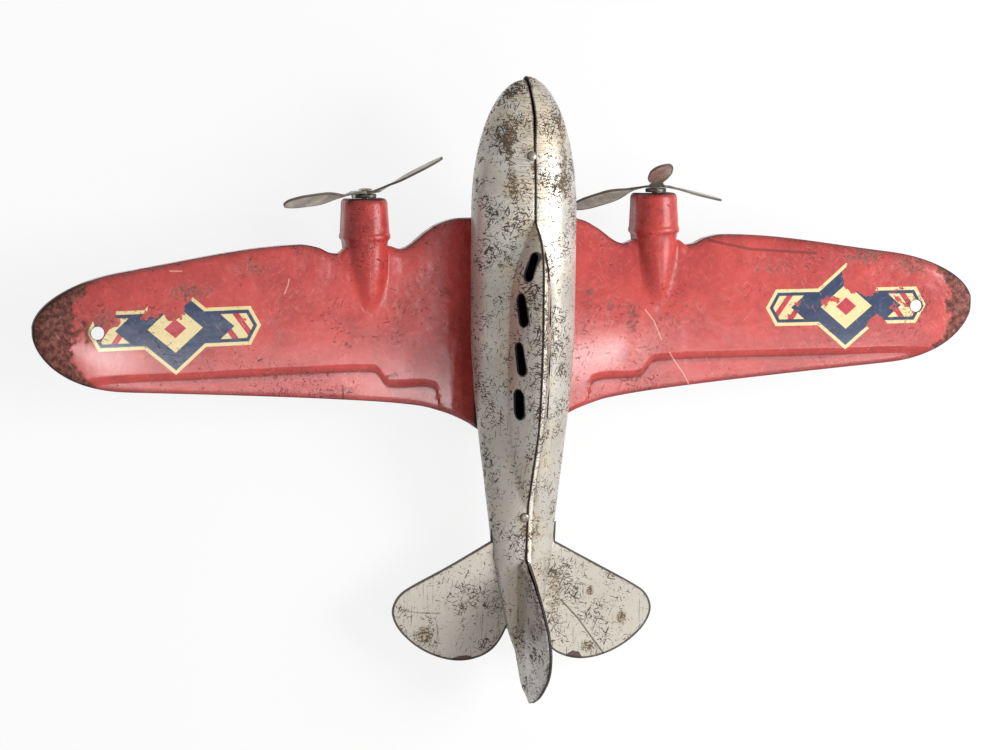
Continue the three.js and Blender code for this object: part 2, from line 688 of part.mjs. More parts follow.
function propellerRivet() {
  const front = propellerY + sheet / 2;
  const back = nacelleFront - sheet - clearance;
  const head = 2.3;
  const profile = [[0, back - 0.8], [2.4, back - 0.8], [2.6, back], [shaftRadius, back],
    [shaftRadius, front + clearance], [head, front + clearance], [head * 0.92, front + clearance + 0.3],
    [head * 0.6, front + clearance + 0.5], [0, front + clearance + 0.6]];
  return new THREE.LatheGeometry(profile.map(([r, y]) => new THREE.Vector2(r, y)), 16);
}

function ring(outerRadius, innerRadius, length, sides) {
  const half = length / 2;
  const profile = [[innerRadius, -half], [outerRadius, -half], [outerRadius, half], [innerRadius, half],
    [innerRadius, -half]];
  return new THREE.LatheGeometry(profile.map(([r, y]) => new THREE.Vector2(r, y)), sides);
}

// Wheel turned from wood: rounded tread, dished faces and a plain bore
const wheelSides = 24;

function wheelSolid() {
  const h = wheelWidth / 2;
  const R = wheelRadius;
  const profile = [[axleHole, -h], [4.2, -h], [4.8, -h + 1], [R - 3.2, -h + 1], [R - 2.2, -h + 0.4],
    [R - 0.8, -h + 1.2], [R, -h + 2.6], [R, h - 2.6], [R - 0.8, h - 1.2], [R - 2.2, h - 0.4],
    [R - 3.2, h - 1], [4.8, h - 1], [4.2, h], [axleHole, h], [axleHole, -h]];
  const geometry = new THREE.LatheGeometry(profile.map(([r, y]) => new THREE.Vector2(r, y)), wheelSides);
  geometry.rotateZ(Math.PI / 2);
  return geometry;
}

const bracketRivets = [1, -1].map((end) => axleY + end * (bracketLength / 2 - bracketRivetInset));
const bracketTop = underWing(0, bracketHalfWidth, axleY - bracketLength / 2, axleY + bracketLength / 2);

// U-shaped undercarriage bracket with an eared leg on each side
function bracketSolid() {
  const gauge = sheet * 1.4;
  const plate = new THREE.BoxGeometry(2 * bracketHalfWidth, bracketLength, gauge);
  const parts = [toSolid(moved(plate, 0, axleY, bracketTop - gauge / 2))];
  const holes = [];
  const leg = new THREE.Shape();
  leg.moveTo(axleY + bracketLength / 2, bracketTop);
  leg.lineTo(axleY - bracketLength / 2, bracketTop);
  leg.lineTo(axleY - earWidth / 2, axleZ + 3);
  leg.absarc(axleY, axleZ, earWidth / 2, Math.PI, Math.PI * 2);
  leg.lineTo(axleY + earWidth / 2, axleZ + 3);
  for (const side of [-1, 1]) {
    const options = { depth: gauge, bevelEnabled: false, curveSegments: 10 };
    const geometry = new THREE.ExtrudeGeometry(leg, options);
    geometry.rotateY(Math.PI / 2);
    geometry.rotateX(Math.PI / 2);
    geometry.translate(side * bracketHalfWidth - (side > 0 ? gauge : 0), 0, 0);
    parts.push(toSolid(geometry));
    holes.push(toSolid(moved(bar(axleHole, gauge * 4, 'x'), side * bracketHalfWidth, axleY, axleZ)));
  }
  for (const y of bracketRivets) {
    holes.push(toSolid(moved(bar(rivetHole, cutterLength, 'z'), 0, y, bracketTop)));
  }
  return cut(join(...parts), ...holes);
}

// Wing pressing with nacelles, tip holes, tab slots and rivet holes
function wingSolid() {
  const stations = wingStations();
  const filled = (inset, depth) => join(loftSolid(stations.map((x) => wingSection(x, inset, depth))),
    nacelleSolid(-1, inset, depth), nacelleSolid(1, inset, depth));
  const skin = filled(0, 0);
  const hollow = filled(sheet, 6);
  const tools = [];
  for (const side of [-1, 1]) {
    const tipHole = bar(tipHoleRadius, tipCutterLength, 'z', 24);
    tools.push(toSolid(moved(tipHole, side * tipHoleX, tipHoleY, edgePlane(tipHoleX))));
    tools.push(toSolid(moved(bar(shaftHole, cutterLength, 'y'), side * nacelleX, nacelleFront, nacelleZ)));
    for (const y of tabStations) {
      const slot = fromSolid(tabShape(side, y, clearance)).applyMatrix4(fuselageMatrix);
      tools.push(toSolid(slot));
    }
  }
  for (const y of bracketRivets) {
    tools.push(toSolid(moved(bar(rivetHole, cutterLength, 'z'), 0, y, bracketTop)));
  }
  return cut(skin, hollow, ...tools);
}

// Fuselage half with windows, wing bay, tailplane slot, rivet holes and its tabs
function fuselageHalf(side) {
  const shell = fuselageShell(side);
  const openings = windows.map((opening) => windowCutter(side, opening));
  const tools = [wingBay(), tailplaneShape(clearance), ...openings];
  for (const y of Object.values(seamRivetY)) {
    tools.push(toSolid(moved(bar(rivetHole, cutterLength, 'z'), seamRivetX, y, seamTop(y))));
  }
  tools.push(toSolid(moved(bar(rivetHole, cutterLength, 'z'), 0, skidY, bellyOutside(skidY))));
  const body = cut(shell, ...tools);
  return join(body, ...tabStations.map((y) => tabShape(side, y, 0)));
}

// Tail skid: flange riveted under the seam, leg bent down, and a flat foot square to the floor
const skidEnds = [-1, 0, 1].map((end) => bellyOutside(skidY + end * skidFlange / 2));
const skidSeat = Math.min(...skidEnds) - clearance;

function skidSolid(floorAt) {
  const front = skidY + skidFlange / 2;
  const back = skidY - skidFlange / 2;
  const heel = back - 3;
  const toe = heel - skidFoot;
  const t = skidThickness;
  const outline = [[front, skidSeat], [back, skidSeat], [heel + t * 0.3, floorAt(heel) + t],
    [toe, floorAt(toe) + t], [toe, floorAt(toe)], [heel + t * 1.6, floorAt(heel + t * 1.6)],
    [back + t, skidSeat - t], [front, skidSeat - t]];
  const shape = new THREE.Shape(outline.map(([y, z]) => new THREE.Vector2(y, z)));
  const geometry = new THREE.ExtrudeGeometry(shape, { depth: skidWidth, bevelEnabled: false });
  geometry.rotateY(Math.PI / 2);
  geometry.rotateX(Math.PI / 2);
  geometry.translate(-skidWidth / 2, 0, 0);
  const hole = toSolid(moved(bar(rivetHole, cutterLength, 'z'), 0, skidY, skidSeat));
  return cut(toSolid(geometry), hole);
}

// Assembly
const airplane = new THREE.Group();
const wingGroup = new THREE.Group();
const fuselageGroup = new THREE.Group();
fuselageGroup.rotation.z = fuselageSkew;
wingGroup.add(fuselageGroup);
wingGroup.rotation.x = standPitch;
airplane.add(wingGroup);

function addPiece(parent, name, shape, material, x = 0, y = 0, z = 0) {
  const geometry = shape.isBufferGeometry ? shape : fromSolid(shape);
  geometry.computeVertexNormals();
  const mesh = new THREE.Mesh(geometry, material);
  mesh.name = name;
  mesh.position.set(x, y, z);
  parent.add(mesh);
  return mesh;
}

// Floor line seen in the body frame, under the wheels' lowest flats
const wheelDrop = wheelRadius * Math.cos(Math.PI / wheelSides);
const floorLift = wheelDrop - (axleY * Math.sin(standPitch) + axleZ * Math.cos(standPitch));
const floorAt = (y) => -(floorLift + y * Math.sin(standPitch)) / Math.cos(standPitch);

addPiece(wingGroup, 'wing', wingSolid(), redPaint);
addPiece(fuselageGroup, 'fuselage_left', fuselageHalf(-1), silverPaint);
addPiece(fuselageGroup, 'fuselage_right', fuselageHalf(1), silverPaint);
addPiece(fuselageGroup, 'tailplane', tailplaneShape(0), silverPaint);

for (const [label, y] of Object.entries(seamRivetY)) {
  const slope = seamSlope(y);
  const grip = strapDepth(y) + sheet;
  const lift = headLift(y);
  const shape = rivetSolid(rivetHead, rivetHeadHeight, rivetShank, grip + lift);
  const seat = [seamRivetX, y, seamTop(y)];
  const rivet = addPiece(fuselageGroup, `seam_rivet_${label}`, shape, darkSteel, ...seat);
  rivet.position.z += lift;
  rivet.rotation.x = slope;
  const strap = addPiece(fuselageGroup, `seam_strap_${label}`, strapSolid(), tinPlate, ...seat);
  strap.geometry.translate(0, 0, -grip);
  strap.rotation.x = slope;
}

const skidGrip = bellyInside(skidY) + skidRivetLift - skidSeat + skidThickness;
addPiece(fuselageGroup, 'tail_skid_rivet', rivetSolid(rivetHead, rivetHeadHeight, rivetShank, skidGrip),
  darkSteel, 0, skidY, bellyInside(skidY) + skidRivetLift);
addPiece(wingGroup, 'tail_skid', skidSolid(floorAt), darkSteel, -skidY * Math.sin(fuselageSkew));

const bracketGrip = wingTop(0, axleY) - bracketTop + sheet * 1.4;
for (const [i, label] of ['front', 'rear'].entries()) {
  const y = bracketRivets[i];
  const rivet = rivetSolid(2, 1, rivetShank, bracketGrip);
  addPiece(wingGroup, `bracket_rivet_${label}`, rivet, darkSteel, 0, y, wingTop(0, y));
}
addPiece(wingGroup, 'undercarriage_bracket', bracketSolid(), darkSteel);

const capX = wheelX + wheelWidth / 2 + clearance + capThickness / 2;
const axleLength = 2 * (capX + capThickness / 2) + 1.2;
addPiece(wingGroup, 'axle', bar(axleRadius, axleLength, 'x', 16), steelWire, 0, axleY, axleZ);
for (const [label, side] of [['left', -1], ['right', 1]]) {
  const wheel = addPiece(wingGroup, `wheel_${label}`, wheelSolid(), blackWood, side * wheelX, axleY, axleZ);
  wheel.rotation.x = Math.PI / wheelSides - standPitch;
  const cap = ring(capRadius, axleRadius + clearance, capThickness, 16).rotateZ(Math.PI / 2);
  addPiece(wingGroup, `axle_cap_${label}`, cap, tinPlate, side * capX, axleY, axleZ);
  const x = side * nacelleX;
  const propeller = propellerSolid(propellerBlades[label]);
  addPiece(wingGroup, `propeller_${label}`, propeller, tinPlate, x, propellerY, nacelleZ);
  const washer = ring(washerRadius, shaftHole, washerThickness, 20);
  addPiece(wingGroup, `propeller_washer_${label}`, washer, darkSteel, x, washerY, nacelleZ);
  addPiece(wingGroup, `propeller_rivet_${label}`, propellerRivet(), darkSteel, x, 0, nacelleZ);
}

// Stand the model on the floor, centred on its own outline
const outline = new THREE.Box3().setFromObject(airplane, true);
airplane.position.set(0, -(outline.min.y + outline.max.y) / 2, floorLift);

export default airplane;
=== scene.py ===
"""Looks for the pressed steel toy airplane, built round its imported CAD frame."""

import math
from contextlib import contextmanager

import bmesh
import bpy
import numpy as np
from mathutils import Matrix, Vector


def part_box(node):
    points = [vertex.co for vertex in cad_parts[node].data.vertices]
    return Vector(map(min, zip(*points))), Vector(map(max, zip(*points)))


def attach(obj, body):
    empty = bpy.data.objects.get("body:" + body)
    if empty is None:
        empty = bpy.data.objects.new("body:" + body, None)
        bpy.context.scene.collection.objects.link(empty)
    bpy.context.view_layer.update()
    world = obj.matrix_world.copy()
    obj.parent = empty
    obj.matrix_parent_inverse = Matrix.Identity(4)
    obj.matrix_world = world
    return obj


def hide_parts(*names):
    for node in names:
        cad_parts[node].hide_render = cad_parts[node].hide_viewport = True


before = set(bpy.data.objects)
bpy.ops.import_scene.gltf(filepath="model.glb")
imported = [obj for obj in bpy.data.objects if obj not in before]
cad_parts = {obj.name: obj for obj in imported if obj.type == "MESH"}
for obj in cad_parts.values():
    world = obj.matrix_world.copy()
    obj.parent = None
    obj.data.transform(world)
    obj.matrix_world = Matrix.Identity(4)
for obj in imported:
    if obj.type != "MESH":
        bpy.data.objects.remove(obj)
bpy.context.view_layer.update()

# The body frame is in millimetres with the wing level; the row frame stands on the floor, in metres
MM = 0.001
SHARP_ANGLE = math.radians(35)
WELD = 1e-4
shift = Matrix.Translation
STAND = math.radians(11)
FUSELAGE_SKEW = math.radians(-1.05)
TAILPLANE_SKEW = math.radians(-1.85)
AXLE = Vector((0, 13, -12.4))
axle_low, axle_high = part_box("axle")
TO_ROW = (
    shift((axle_low + axle_high) / 2)
    @ Matrix.Rotation(STAND, 4, "X")
    @ Matrix.Scale(MM, 4)
    @ shift(-AXLE)
)
SKEW = Matrix.Rotation(FUSELAGE_SKEW, 4, "Z")

# Sizes that the detailed pieces share with the CAD
SHEET = 0.7
HALF_SPAN = 162.8
TIP_LENGTH = 30.8
TIP_START = HALF_SPAN - TIP_LENGTH
TIP_POWER = 2.3
TIP_RATIO = 0.997
TIP_SLIT = 0.03
DIHEDRAL = math.tan(math.radians(6.8))
RIM_DEPTH = 3.6
EDGE_HEIGHT = 1.2
CAMBER = 1.5
LEADING_RADIUS = 4.5
TRAILING_RADIUS = 2.0
CREASE_STEP = 1.0
CREASE_WIDTH = 2.8
TIP_HOLE = (142.2, 2.0, 2.15)
NACELLE_X = 51.0
NACELLE_Z = 4.5
NACELLE_FRONT = 42.7
SKIRT_DEPTH = 6.0
NACELLE_FILLET = 2.0
RIDGE_SOFTNESS = 0.75
RIDGE_END = 0.0
RIDGE_RUN = 12.0
RIDGE_FADE = 2.0
NOSE_START = 38.0
NOSE_Y = 82.9
NOSE_SLIP = 1.2
TAIL_Y = -126.6
SECTION_POWER = 2.1
CABIN_BASE = 22.0
RIGHT_CABIN_SHARE = 0.7
FIN_FLARE = 2.2
FIN_FLARE_DECAY = 4.0
# Cabin windows: place along Y, height, slant, length and width of the opening
WINDOWS = ((20.6, 37.1, -10, 9.6, 4.0), (6.3, 35.3, 12, 11, 4.3), (-9.9, 34.5, 10, 11, 4.1),
           (-25.1, 33.1, -3, 10, 4.7))
WINDOW_TILT = math.radians(28)
TAB_PLACES = (27, -24)
TAB_REACH = 4.5
TAB_HALF = 3
TAILPLANE_X = 0.8
TAILPLANE_Z = 17.8
PROPELLER_Y = NACELLE_FRONT + 2.25
HUB_RADIUS = 3.6
SHAFT_HOLE = 1.75
BLADE_REACH = 30.5
BLADE_END = 4.5
BEND_START = 3.4
NECK_RADIUS = 8.4
TWIST_RUN = 12.0
# Blades of each propeller: angle, lean inside and outside the neck, and twist, in degrees
BLADES = {
    "left": ((163.4, -13, -5, 29), (37.4, 24, 24.5, 16), (280, -6, -9, 8)),
    "right": ((104, 18, 17, 14), (210, -11, -17, 27), (337.1, -10, -12, 12)),
}
WASHER_RADIUS = 3.6
WASHER_THICKNESS = 1.3
CLEARANCE = 0.3
WHEEL_X = 29.0
WHEEL_RADIUS = 10.9
WHEEL_WIDTH = 8.0
AXLE_RADIUS = 1.2
AXLE_HOLE = 1.5
CAP_RADIUS = 3.2
CAP_THICKNESS = 1.6
RIVET_X = -1.0
SEAM_RIVETS = {"front": 56.6, "rear": -64.6}
RIVET_HEAD = 1.5
RIVET_SHANK = 0.8
SIDES = ((-1, "left"), (1, "right"))


def curve(*points):
    """A smooth curve through points that never overshoots them."""
    xs, ys = np.array(points, float).T
    slope = np.diff(ys) / np.diff(xs)
    tangent = np.concatenate(([slope[0]], np.zeros(len(slope) - 1), [slope[-1]]))
    a, b = slope[:-1], slope[1:]
    same = a * b > 0
    tangent[1:-1][same] = 2 / (1 / a[same] + 1 / b[same])

    def at(x):
        x = np.clip(x, xs[0], xs[-1])
        i = np.clip(np.searchsorted(xs, x, side="right") - 1, 0, len(xs) - 2)
        h = xs[i + 1] - xs[i]
        t = (x - xs[i]) / h
        y = ys[i] * (1 + 2 * t) * (1 - t) ** 2 + ys[i + 1] * t * t * (3 - 2 * t)
        return y + h * (tangent[i] * t * (1 - t) ** 2 + tangent[i + 1] * t * t * (t - 1))

    return at


leading = curve((0, 35.4), (18, 35.4), (25, 33.9), (30, 31.2), (37.5, 26), (43, 24.8), (59, 24.6),
                (63.5, 25), (68, 27), (74, 28.1), (137, 20.6), (162.8, 17.4))
trailing = curve((0, -38), (11, -37.6), (16, -34.6), (24, -30.7), (34, -27.6), (60, -24.2), (162.8, -15.4))
flange_width = curve((0, 0), (25.5, 0), (28, 8.5), (44, 6.5), (49.5, 11.2), (73, 9.4), (113, 5.9),
                     (136, 4.2), (150, 0))
nacelle_radius = curve((-6, 0.4), (-1, 3.3), (8, 5.3), (18, 6.6), (26, 7.1), (28.6, 7.4), (29.5, 8.1),
                       (30.4, 8.15), (31.3, 7.85), (34, 7.7), (38, 7.45), (41.2, 7.3), (42.2, 6.9),
                       (42.7, 6.2))
half_width = curve((-126.6, 0), (-118, 0.3), (-112, 2), (-104, 4.8), (-94.5, 7.2), (-85, 9), (-75.5, 10.4),
                   (-66.8, 11.3), (-53, 12.9), (-36, 15), (-19, 16.7), (-2, 17.6), (20, 17.7),
                   (82.9, 17.7))
centre_height = curve((-126.6, 31), (-122, 24), (-117, 21.2), (-112, 20.4), (-105, 19.8), (-95, 18.8),
                      (-80, 17.9), (-66, 17.2), (-40, 16.4), (0, 16), (82.9, 15.7))
crown_height = curve((-105, 21), (-95, 21.6), (-85, 22.2), (-75, 22.9), (-66.5, 23.7), (-40, 26.5),
                     (-20, 28), (0, 29), (20, 29.6), (40, 29.9))
belly_height = curve((-126.6, 30.5), (-125, 27), (-123, 21.4), (-121.3, 19.4), (-117.5, 16.5),
                     (-113.5, 13.3), (-109.5, 10), (-105, 8.7), (-95, 7.6), (-80, 6), (-66, 4.5),
                     (-40, 1.9), (-10, -0.4), (20, -0.6), (82.9, -0.5))
cabin_ridge = curve((-70, 20.5), (-60, 24.8), (-51, 28.9), (-42, 33.2), (-33, 36.9), (-16, 39.6),
                    (0, 40.7), (18, 40.6), (24, 39.6), (28.5, 37.4), (33, 33), (36.5, 29), (40, 24))
cabin_half_width = curve((-70, 0), (-60, 3), (-50, 5.2), (-38, 7.4), (-20, 8.7), (8, 8.7), (18, 7.4),
                         (28, 4.2), (36.5, 0.6), (40, 0))
fin_top = curve((-126.6, 31.5), (-123.4, 38.4), (-119.5, 44.2), (-114.9, 49.4), (-110.5, 52.1),
                (-106.2, 52.7), (-102.2, 51.5), (-98.6, 49.3), (-95.2, 45.6), (-91.8, 41.7), (-88.5, 37),
                (-85.2, 32.2), (-82, 26.6), (-78.6, 21.8), (-74, 17))


def smooth(t):
    t = np.clip(t, 0, 1)
    return t * t * (3 - 2 * t)


def stacked(*coordinates):
    """Points from separate coordinates, each spread over the full grid."""
    return np.stack(np.broadcast_arrays(*coordinates), axis=-1)


def bump(y, at, length):
    return np.exp(-(((y - at) / length) ** 2))


def blend_max(a, b, reach):
    k = np.minimum(reach, 1.2 * np.minimum(np.abs(a), np.abs(b))) + 1e-9
    h = np.maximum(k - np.abs(a - b), 0) / k
    return np.maximum(a, b) + h * h * k / 4


# Wing surface
def wing_edges(x):
    a = np.abs(x)
    front, back = leading(a), trailing(a)
    front = front + NACELLE_FILLET * smooth((61.5 - a) / 3.5) * smooth((a - 38.5) / 5)
    t = np.clip((a - TIP_START) / TIP_LENGTH, 0, 1)
    middle = (front + back) / 2 + 2.2 * smooth(t)
    s = np.sqrt(1 - (t * TIP_RATIO) ** TIP_POWER)
    return middle + (front - middle) * s, middle + (back - middle) * s


def edge_plane(x):
    return DIHEDRAL * np.hypot(x, 8)


def wing_top(x, y):
    a = np.abs(x)
    front, back = wing_edges(x)
    reach = np.minimum((front - y) / LEADING_RADIUS, (y - back) / TRAILING_RADIUS)
    reach = np.clip(np.minimum(reach, (HALF_SPAN - a) / LEADING_RADIUS), 0, 1)
    edge = np.sqrt(1 - (1 - reach) ** 2)
    along = np.clip((front - y) / (front - back), 0, 1)
    crown = CAMBER * np.sin(np.pi * along**0.75) * (1 - 0.45 * a / HALF_SPAN)
    crease = back + flange_width(a)
    flange = 1 - smooth((y - crease) / CREASE_WIDTH + 0.5)
    rise = edge * (EDGE_HEIGHT + crown - CREASE_STEP * flange * smooth(flange_width(a) / 3))
    return edge_plane(x) + rise


def nacelle_top(x, y):
    r = np.maximum(nacelle_radius(y), 0.2)
    d = np.abs(np.abs(x) - NACELLE_X)
    dome = np.sqrt(np.maximum(r * r - d * d, 0))
    tent = r * np.cos(np.pi / 2 * np.minimum(d / (1.25 * r), 1))
    dome = dome + (tent - dome) * smooth((22 - y) / 12)
    return np.where((d < r) & (y > -5), NACELLE_Z + dome, NACELLE_Z - 4 * (d - r) - 9 * smooth((-5 - y) / 3))


def skin_top(x, y):
    """The wing's upper face, with each nacelle rising out of it in a soft ridge."""
    low = wing_top(x, y)
    rise = nacelle_top(x, y) - RIDGE_FADE * smooth((RIDGE_END + RIDGE_RUN - y) / RIDGE_RUN) - low
    return low + np.logaddexp(0, rise / RIDGE_SOFTNESS) * RIDGE_SOFTNESS


# Fuselage section
def nose_tip(side):
    return NOSE_Y - (NOSE_SLIP if side < 0 else 0)


def half_gap(y, side):
    """Distance of a pressing's edge from the middle plane; the bent left edge crosses it at the nose."""
    gape = -0.25 if side < 0 else 0.75
    return 0.15 + gape * bump(y, 69.5, 7) + 0.2 * bump(y, -84, 6)


def fuselage_section(y, inset, side=1):
    t = np.clip((y - NOSE_START) / (nose_tip(side) - inset - NOSE_START), 0, 1)
    nose = np.sqrt(1 - t * t)
    full = half_width(y)
    centre = centre_height(y)
    full_crown = crown_height(y)
    fin_full = fin_top(y)
    is_fin = smooth((fin_full - full_crown) / 3) * (y < -70)
    is_blade = smooth((-y - 104) / 8)
    s = {
        "y": y,
        "width": np.maximum(full - inset, 0) * nose,
        "centre": centre,
        "crown": centre + np.maximum(full_crown - centre - inset, 0) * nose,
        "belly": centre + (belly_height(y) + inset * (1 - is_blade) - centre) * nose,
        "cabin": np.maximum(cabin_half_width(y) * (RIGHT_CABIN_SHARE if side > 0 else 1) - inset, 0),
        "gap": half_gap(y, side),
        "metal": 0.0 if inset > 0 else SHEET,
        "is_fin": is_fin,
        "is_blade": is_blade,
    }
    s["ridge"] = np.where(s["cabin"] > 0, cabin_ridge(y) - inset, 0)
    s["fin"] = np.where(is_fin > 0, fin_full - inset * (1 - is_fin), 0)
    s["top"] = np.maximum(np.maximum(s["crown"], s["ridge"]), s["fin"])
    return s


def half_breadth(s, z):
    above = z > s["centre"]
    span = np.where(above, s["crown"] - s["centre"], s["centre"] - s["belly"])
    t = np.clip(np.abs(z - s["centre"]) / np.maximum(span, 1e-6), 0, 1)
    breadth = s["width"] * (1 - t**SECTION_POWER) ** (1 / SECTION_POWER)
    u = np.clip((z - CABIN_BASE) / np.maximum(s["ridge"] - CABIN_BASE, 1e-6), 0, 1)
    cabin = s["cabin"] * (1 - u**2.2) ** 0.62
    has_cabin = (s["cabin"] > 0) & (z > CABIN_BASE) & (s["ridge"] > CABIN_BASE)
    breadth = np.where(has_cabin, blend_max(breadth, cabin, 3), breadth)
    least = s["gap"] + s["metal"] * s["is_blade"]
    root = s["centre"] + (s["crown"] - s["centre"]) * 0.8
    flare = FIN_FLARE * np.exp(-np.maximum(z - root, 0) / FIN_FLARE_DECAY) * smooth((s["y"] + 118) / 14)
    fin = s["gap"] + s["is_fin"] * (s["metal"] + flare)
    least = np.where((s["is_fin"] > 0) & above, np.maximum(least, fin), least)
    return np.maximum(breadth, least)


def fuselage_rows(ys, inset, side):
    """Points (stations, outline) of one half's face, from the top seam to the belly seam."""
    ys = np.asarray(ys, float)[:, None]
    s = fuselage_section(ys, inset, side)
    root = s["centre"] + (s["crown"] - s["centre"]) * 0.85
    f = np.linspace(0, 1, 37)[None, 1:]
    ridge = s["top"] + (root - s["top"]) * ((1 - s["is_fin"]) * f * f + s["is_fin"] * f * (2 - f))
    f = np.linspace(0, 1, 15)[None, 1:]
    shoulder = root + (s["centre"] - root) * f**0.8
    f = np.linspace(0, 1, 25)[None, 1:]
    belly = s["centre"] + (s["belly"] - s["centre"]) * np.sin(np.pi / 2 * f)
    z = np.concatenate((s["top"], ridge, shoulder, belly, s["belly"]), axis=1)
    x = half_breadth(s, z)
    x[:, :1] = s["gap"] + s["metal"] * s["is_fin"]
    x[:, -1:] = s["gap"] + s["metal"] * s["is_blade"]
    return stacked(x, ys, z)


# Mesh helpers
def add_object(name, data):
    obj = bpy.data.objects.new(name, data)
    bpy.context.scene.collection.objects.link(obj)
    return obj


def new_object(name, vertices, faces):
    mesh = bpy.data.meshes.new(name)
    mesh.from_pydata([tuple(v) for v in vertices], [], [tuple(f) for f in faces])
    mesh.update()
    mesh.validate()
    return add_object(name, mesh)


def grid_faces(rows, cols, start=0, flip=False):
    i, j = np.meshgrid(np.arange(rows - 1), np.arange(cols - 1), indexing="ij")
    a = start + i * cols + j
    quads = np.stack((a, a + cols, a + cols + 1, a + 1), axis=-1).reshape(-1, 4)
    return quads[:, ::-1] if flip else quads


def sheet_mesh(outer, inner):
    """Vertices and quads of a sheet between two equal grids, closed round its four edges."""
    rows, cols = outer.shape[:2]
    count = rows * cols
    index = np.arange(count).reshape(rows, cols)
    ring = np.concatenate((index[0, :-1], index[:-1, -1], index[-1, :0:-1], index[:0:-1, 0]))
    after = np.roll(ring, -1)
    wall = np.stack((ring, after, after + count, ring + count), axis=-1)
    vertices = np.concatenate((outer.reshape(-1, 3), inner.reshape(-1, 3)))
    return vertices, np.concatenate((grid_faces(rows, cols), grid_faces(rows, cols, count, True), wall))


@contextmanager
def editing(obj):
    bm = bmesh.new()
    bm.from_mesh(obj.data)
    yield bm
    bm.to_mesh(obj.data)
    bm.free()


def clean(obj):
    """Welds coincident corners and turns the faces outwards."""
    with editing(obj) as bm:
        bmesh.ops.remove_doubles(bm, verts=bm.verts, dist=WELD)
        bmesh.ops.dissolve_degenerate(bm, edges=bm.edges, dist=WELD / 10)
        bmesh.ops.recalc_face_normals(bm, faces=bm.faces)
    return obj


def subtract(obj, *cutters):
    for cutter in cutters:
        modifier = obj.modifiers.new("cut", "BOOLEAN")
        modifier.operation = "DIFFERENCE"
        modifier.solver = "MANIFOLD"
        modifier.object = cutter
    bpy.context.view_layer.update()
    evaluated = obj.evaluated_get(bpy.context.evaluated_depsgraph_get())
    mesh = bpy.data.meshes.new_from_object(evaluated)
    obj.modifiers.clear()
    obj.data = mesh
    for cutter in cutters:
        bpy.data.objects.remove(cutter)
    return obj


def merge(obj, *others):
    """Adds the meshes of others to obj."""
    with editing(obj) as bm:
        for other in others:
            bm.from_mesh(other.data)
            bpy.data.objects.remove(other)
    return obj


def turned_mesh(profile, axis, sides):
    """Vertices and faces of a profile of (radius, place along the axis) turned about an axis."""
    profile = np.array(profile, float)
    turn = np.linspace(0, 2 * np.pi, sides, endpoint=False)
    r, along = profile[:, :1], profile[:, 1:]
    a, b = r * np.cos(turn), r * np.sin(turn)
    points = {"x": (along, a, b), "y": (a, along, b), "z": (a, b, along)}[axis]
    faces = []
    for i in range(len(profile) - 1):
        for j in range(sides):
            k = (j + 1) % sides
            faces.append((i * sides + j, i * sides + k, (i + 1) * sides + k, (i + 1) * sides + j))
    return stacked(*points).reshape(-1, 3), faces


def lathe(name, profile, axis, sides):
    """A closed body turned from an open profile that starts and ends on the axis."""
    return clean(new_object(name, *turned_mesh(profile, axis, sides)))


def prism(name, outline, low, high):
    """A straight prism over a closed outline of (x, y)."""
    n = len(outline)
    vertices = [(x, y, low) for x, y in outline] + [(x, y, high) for x, y in outline]
    faces = [tuple(range(n - 1, -1, -1)), tuple(range(n, 2 * n))]
    faces += [(i, (i + 1) % n, n + (i + 1) % n, n + i) for i in range(n)]
    return new_object(name, vertices, faces)


def finish_piece(obj, node, material, to_row, body="airframe"):
    """Moves a piece into the row frame, shades it, gives it its material, hangs it under its CAD body and
    hides the CAD node that it stands in for.
    """
    obj.data.transform(to_row)
    obj.data.shade_smooth()
    obj.data.set_sharp_from_angle(angle=SHARP_ANGLE)
    obj.data.materials.clear()
    obj.data.materials.append(material)
    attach(obj, body)
    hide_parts(node)


def point_attribute(obj, name, values):
    attribute = obj.data.attributes.new(name, "FLOAT", "POINT")
    attribute.data.foreach_set("value", np.asarray(values, np.float32))


def points_of(obj):
    co = np.empty(len(obj.data.vertices) * 3)
    obj.data.vertices.foreach_get("co", co)
    return co.reshape(-1, 3)


# Materials
BODY_AT = -(Matrix.Rotation(-STAND, 4, "X") @ (TO_ROW.translation / MM))


def srgb(colour):
    """Linear values of a colour written #rrggbb."""
    values = [int(colour[i : i + 2], 16) for i in (1, 3, 5)]
    return [((v / 255 + 0.055) / 1.055) ** 2.4 if v > 10 else v / 255 / 12.92 for v in values]


def operator(name):
    return lambda a, b=0.0: a.nodes.math(name, a, b)


class Value:
    """A node's output that takes part in plain arithmetic."""

    def __init__(self, nodes, socket):
        self.nodes, self.socket = nodes, socket

    __add__, __sub__, __mul__ = operator("ADD"), operator("SUBTRACT"), operator("MULTIPLY")
    __truediv__, __abs__ = operator("DIVIDE"), operator("ABSOLUTE")


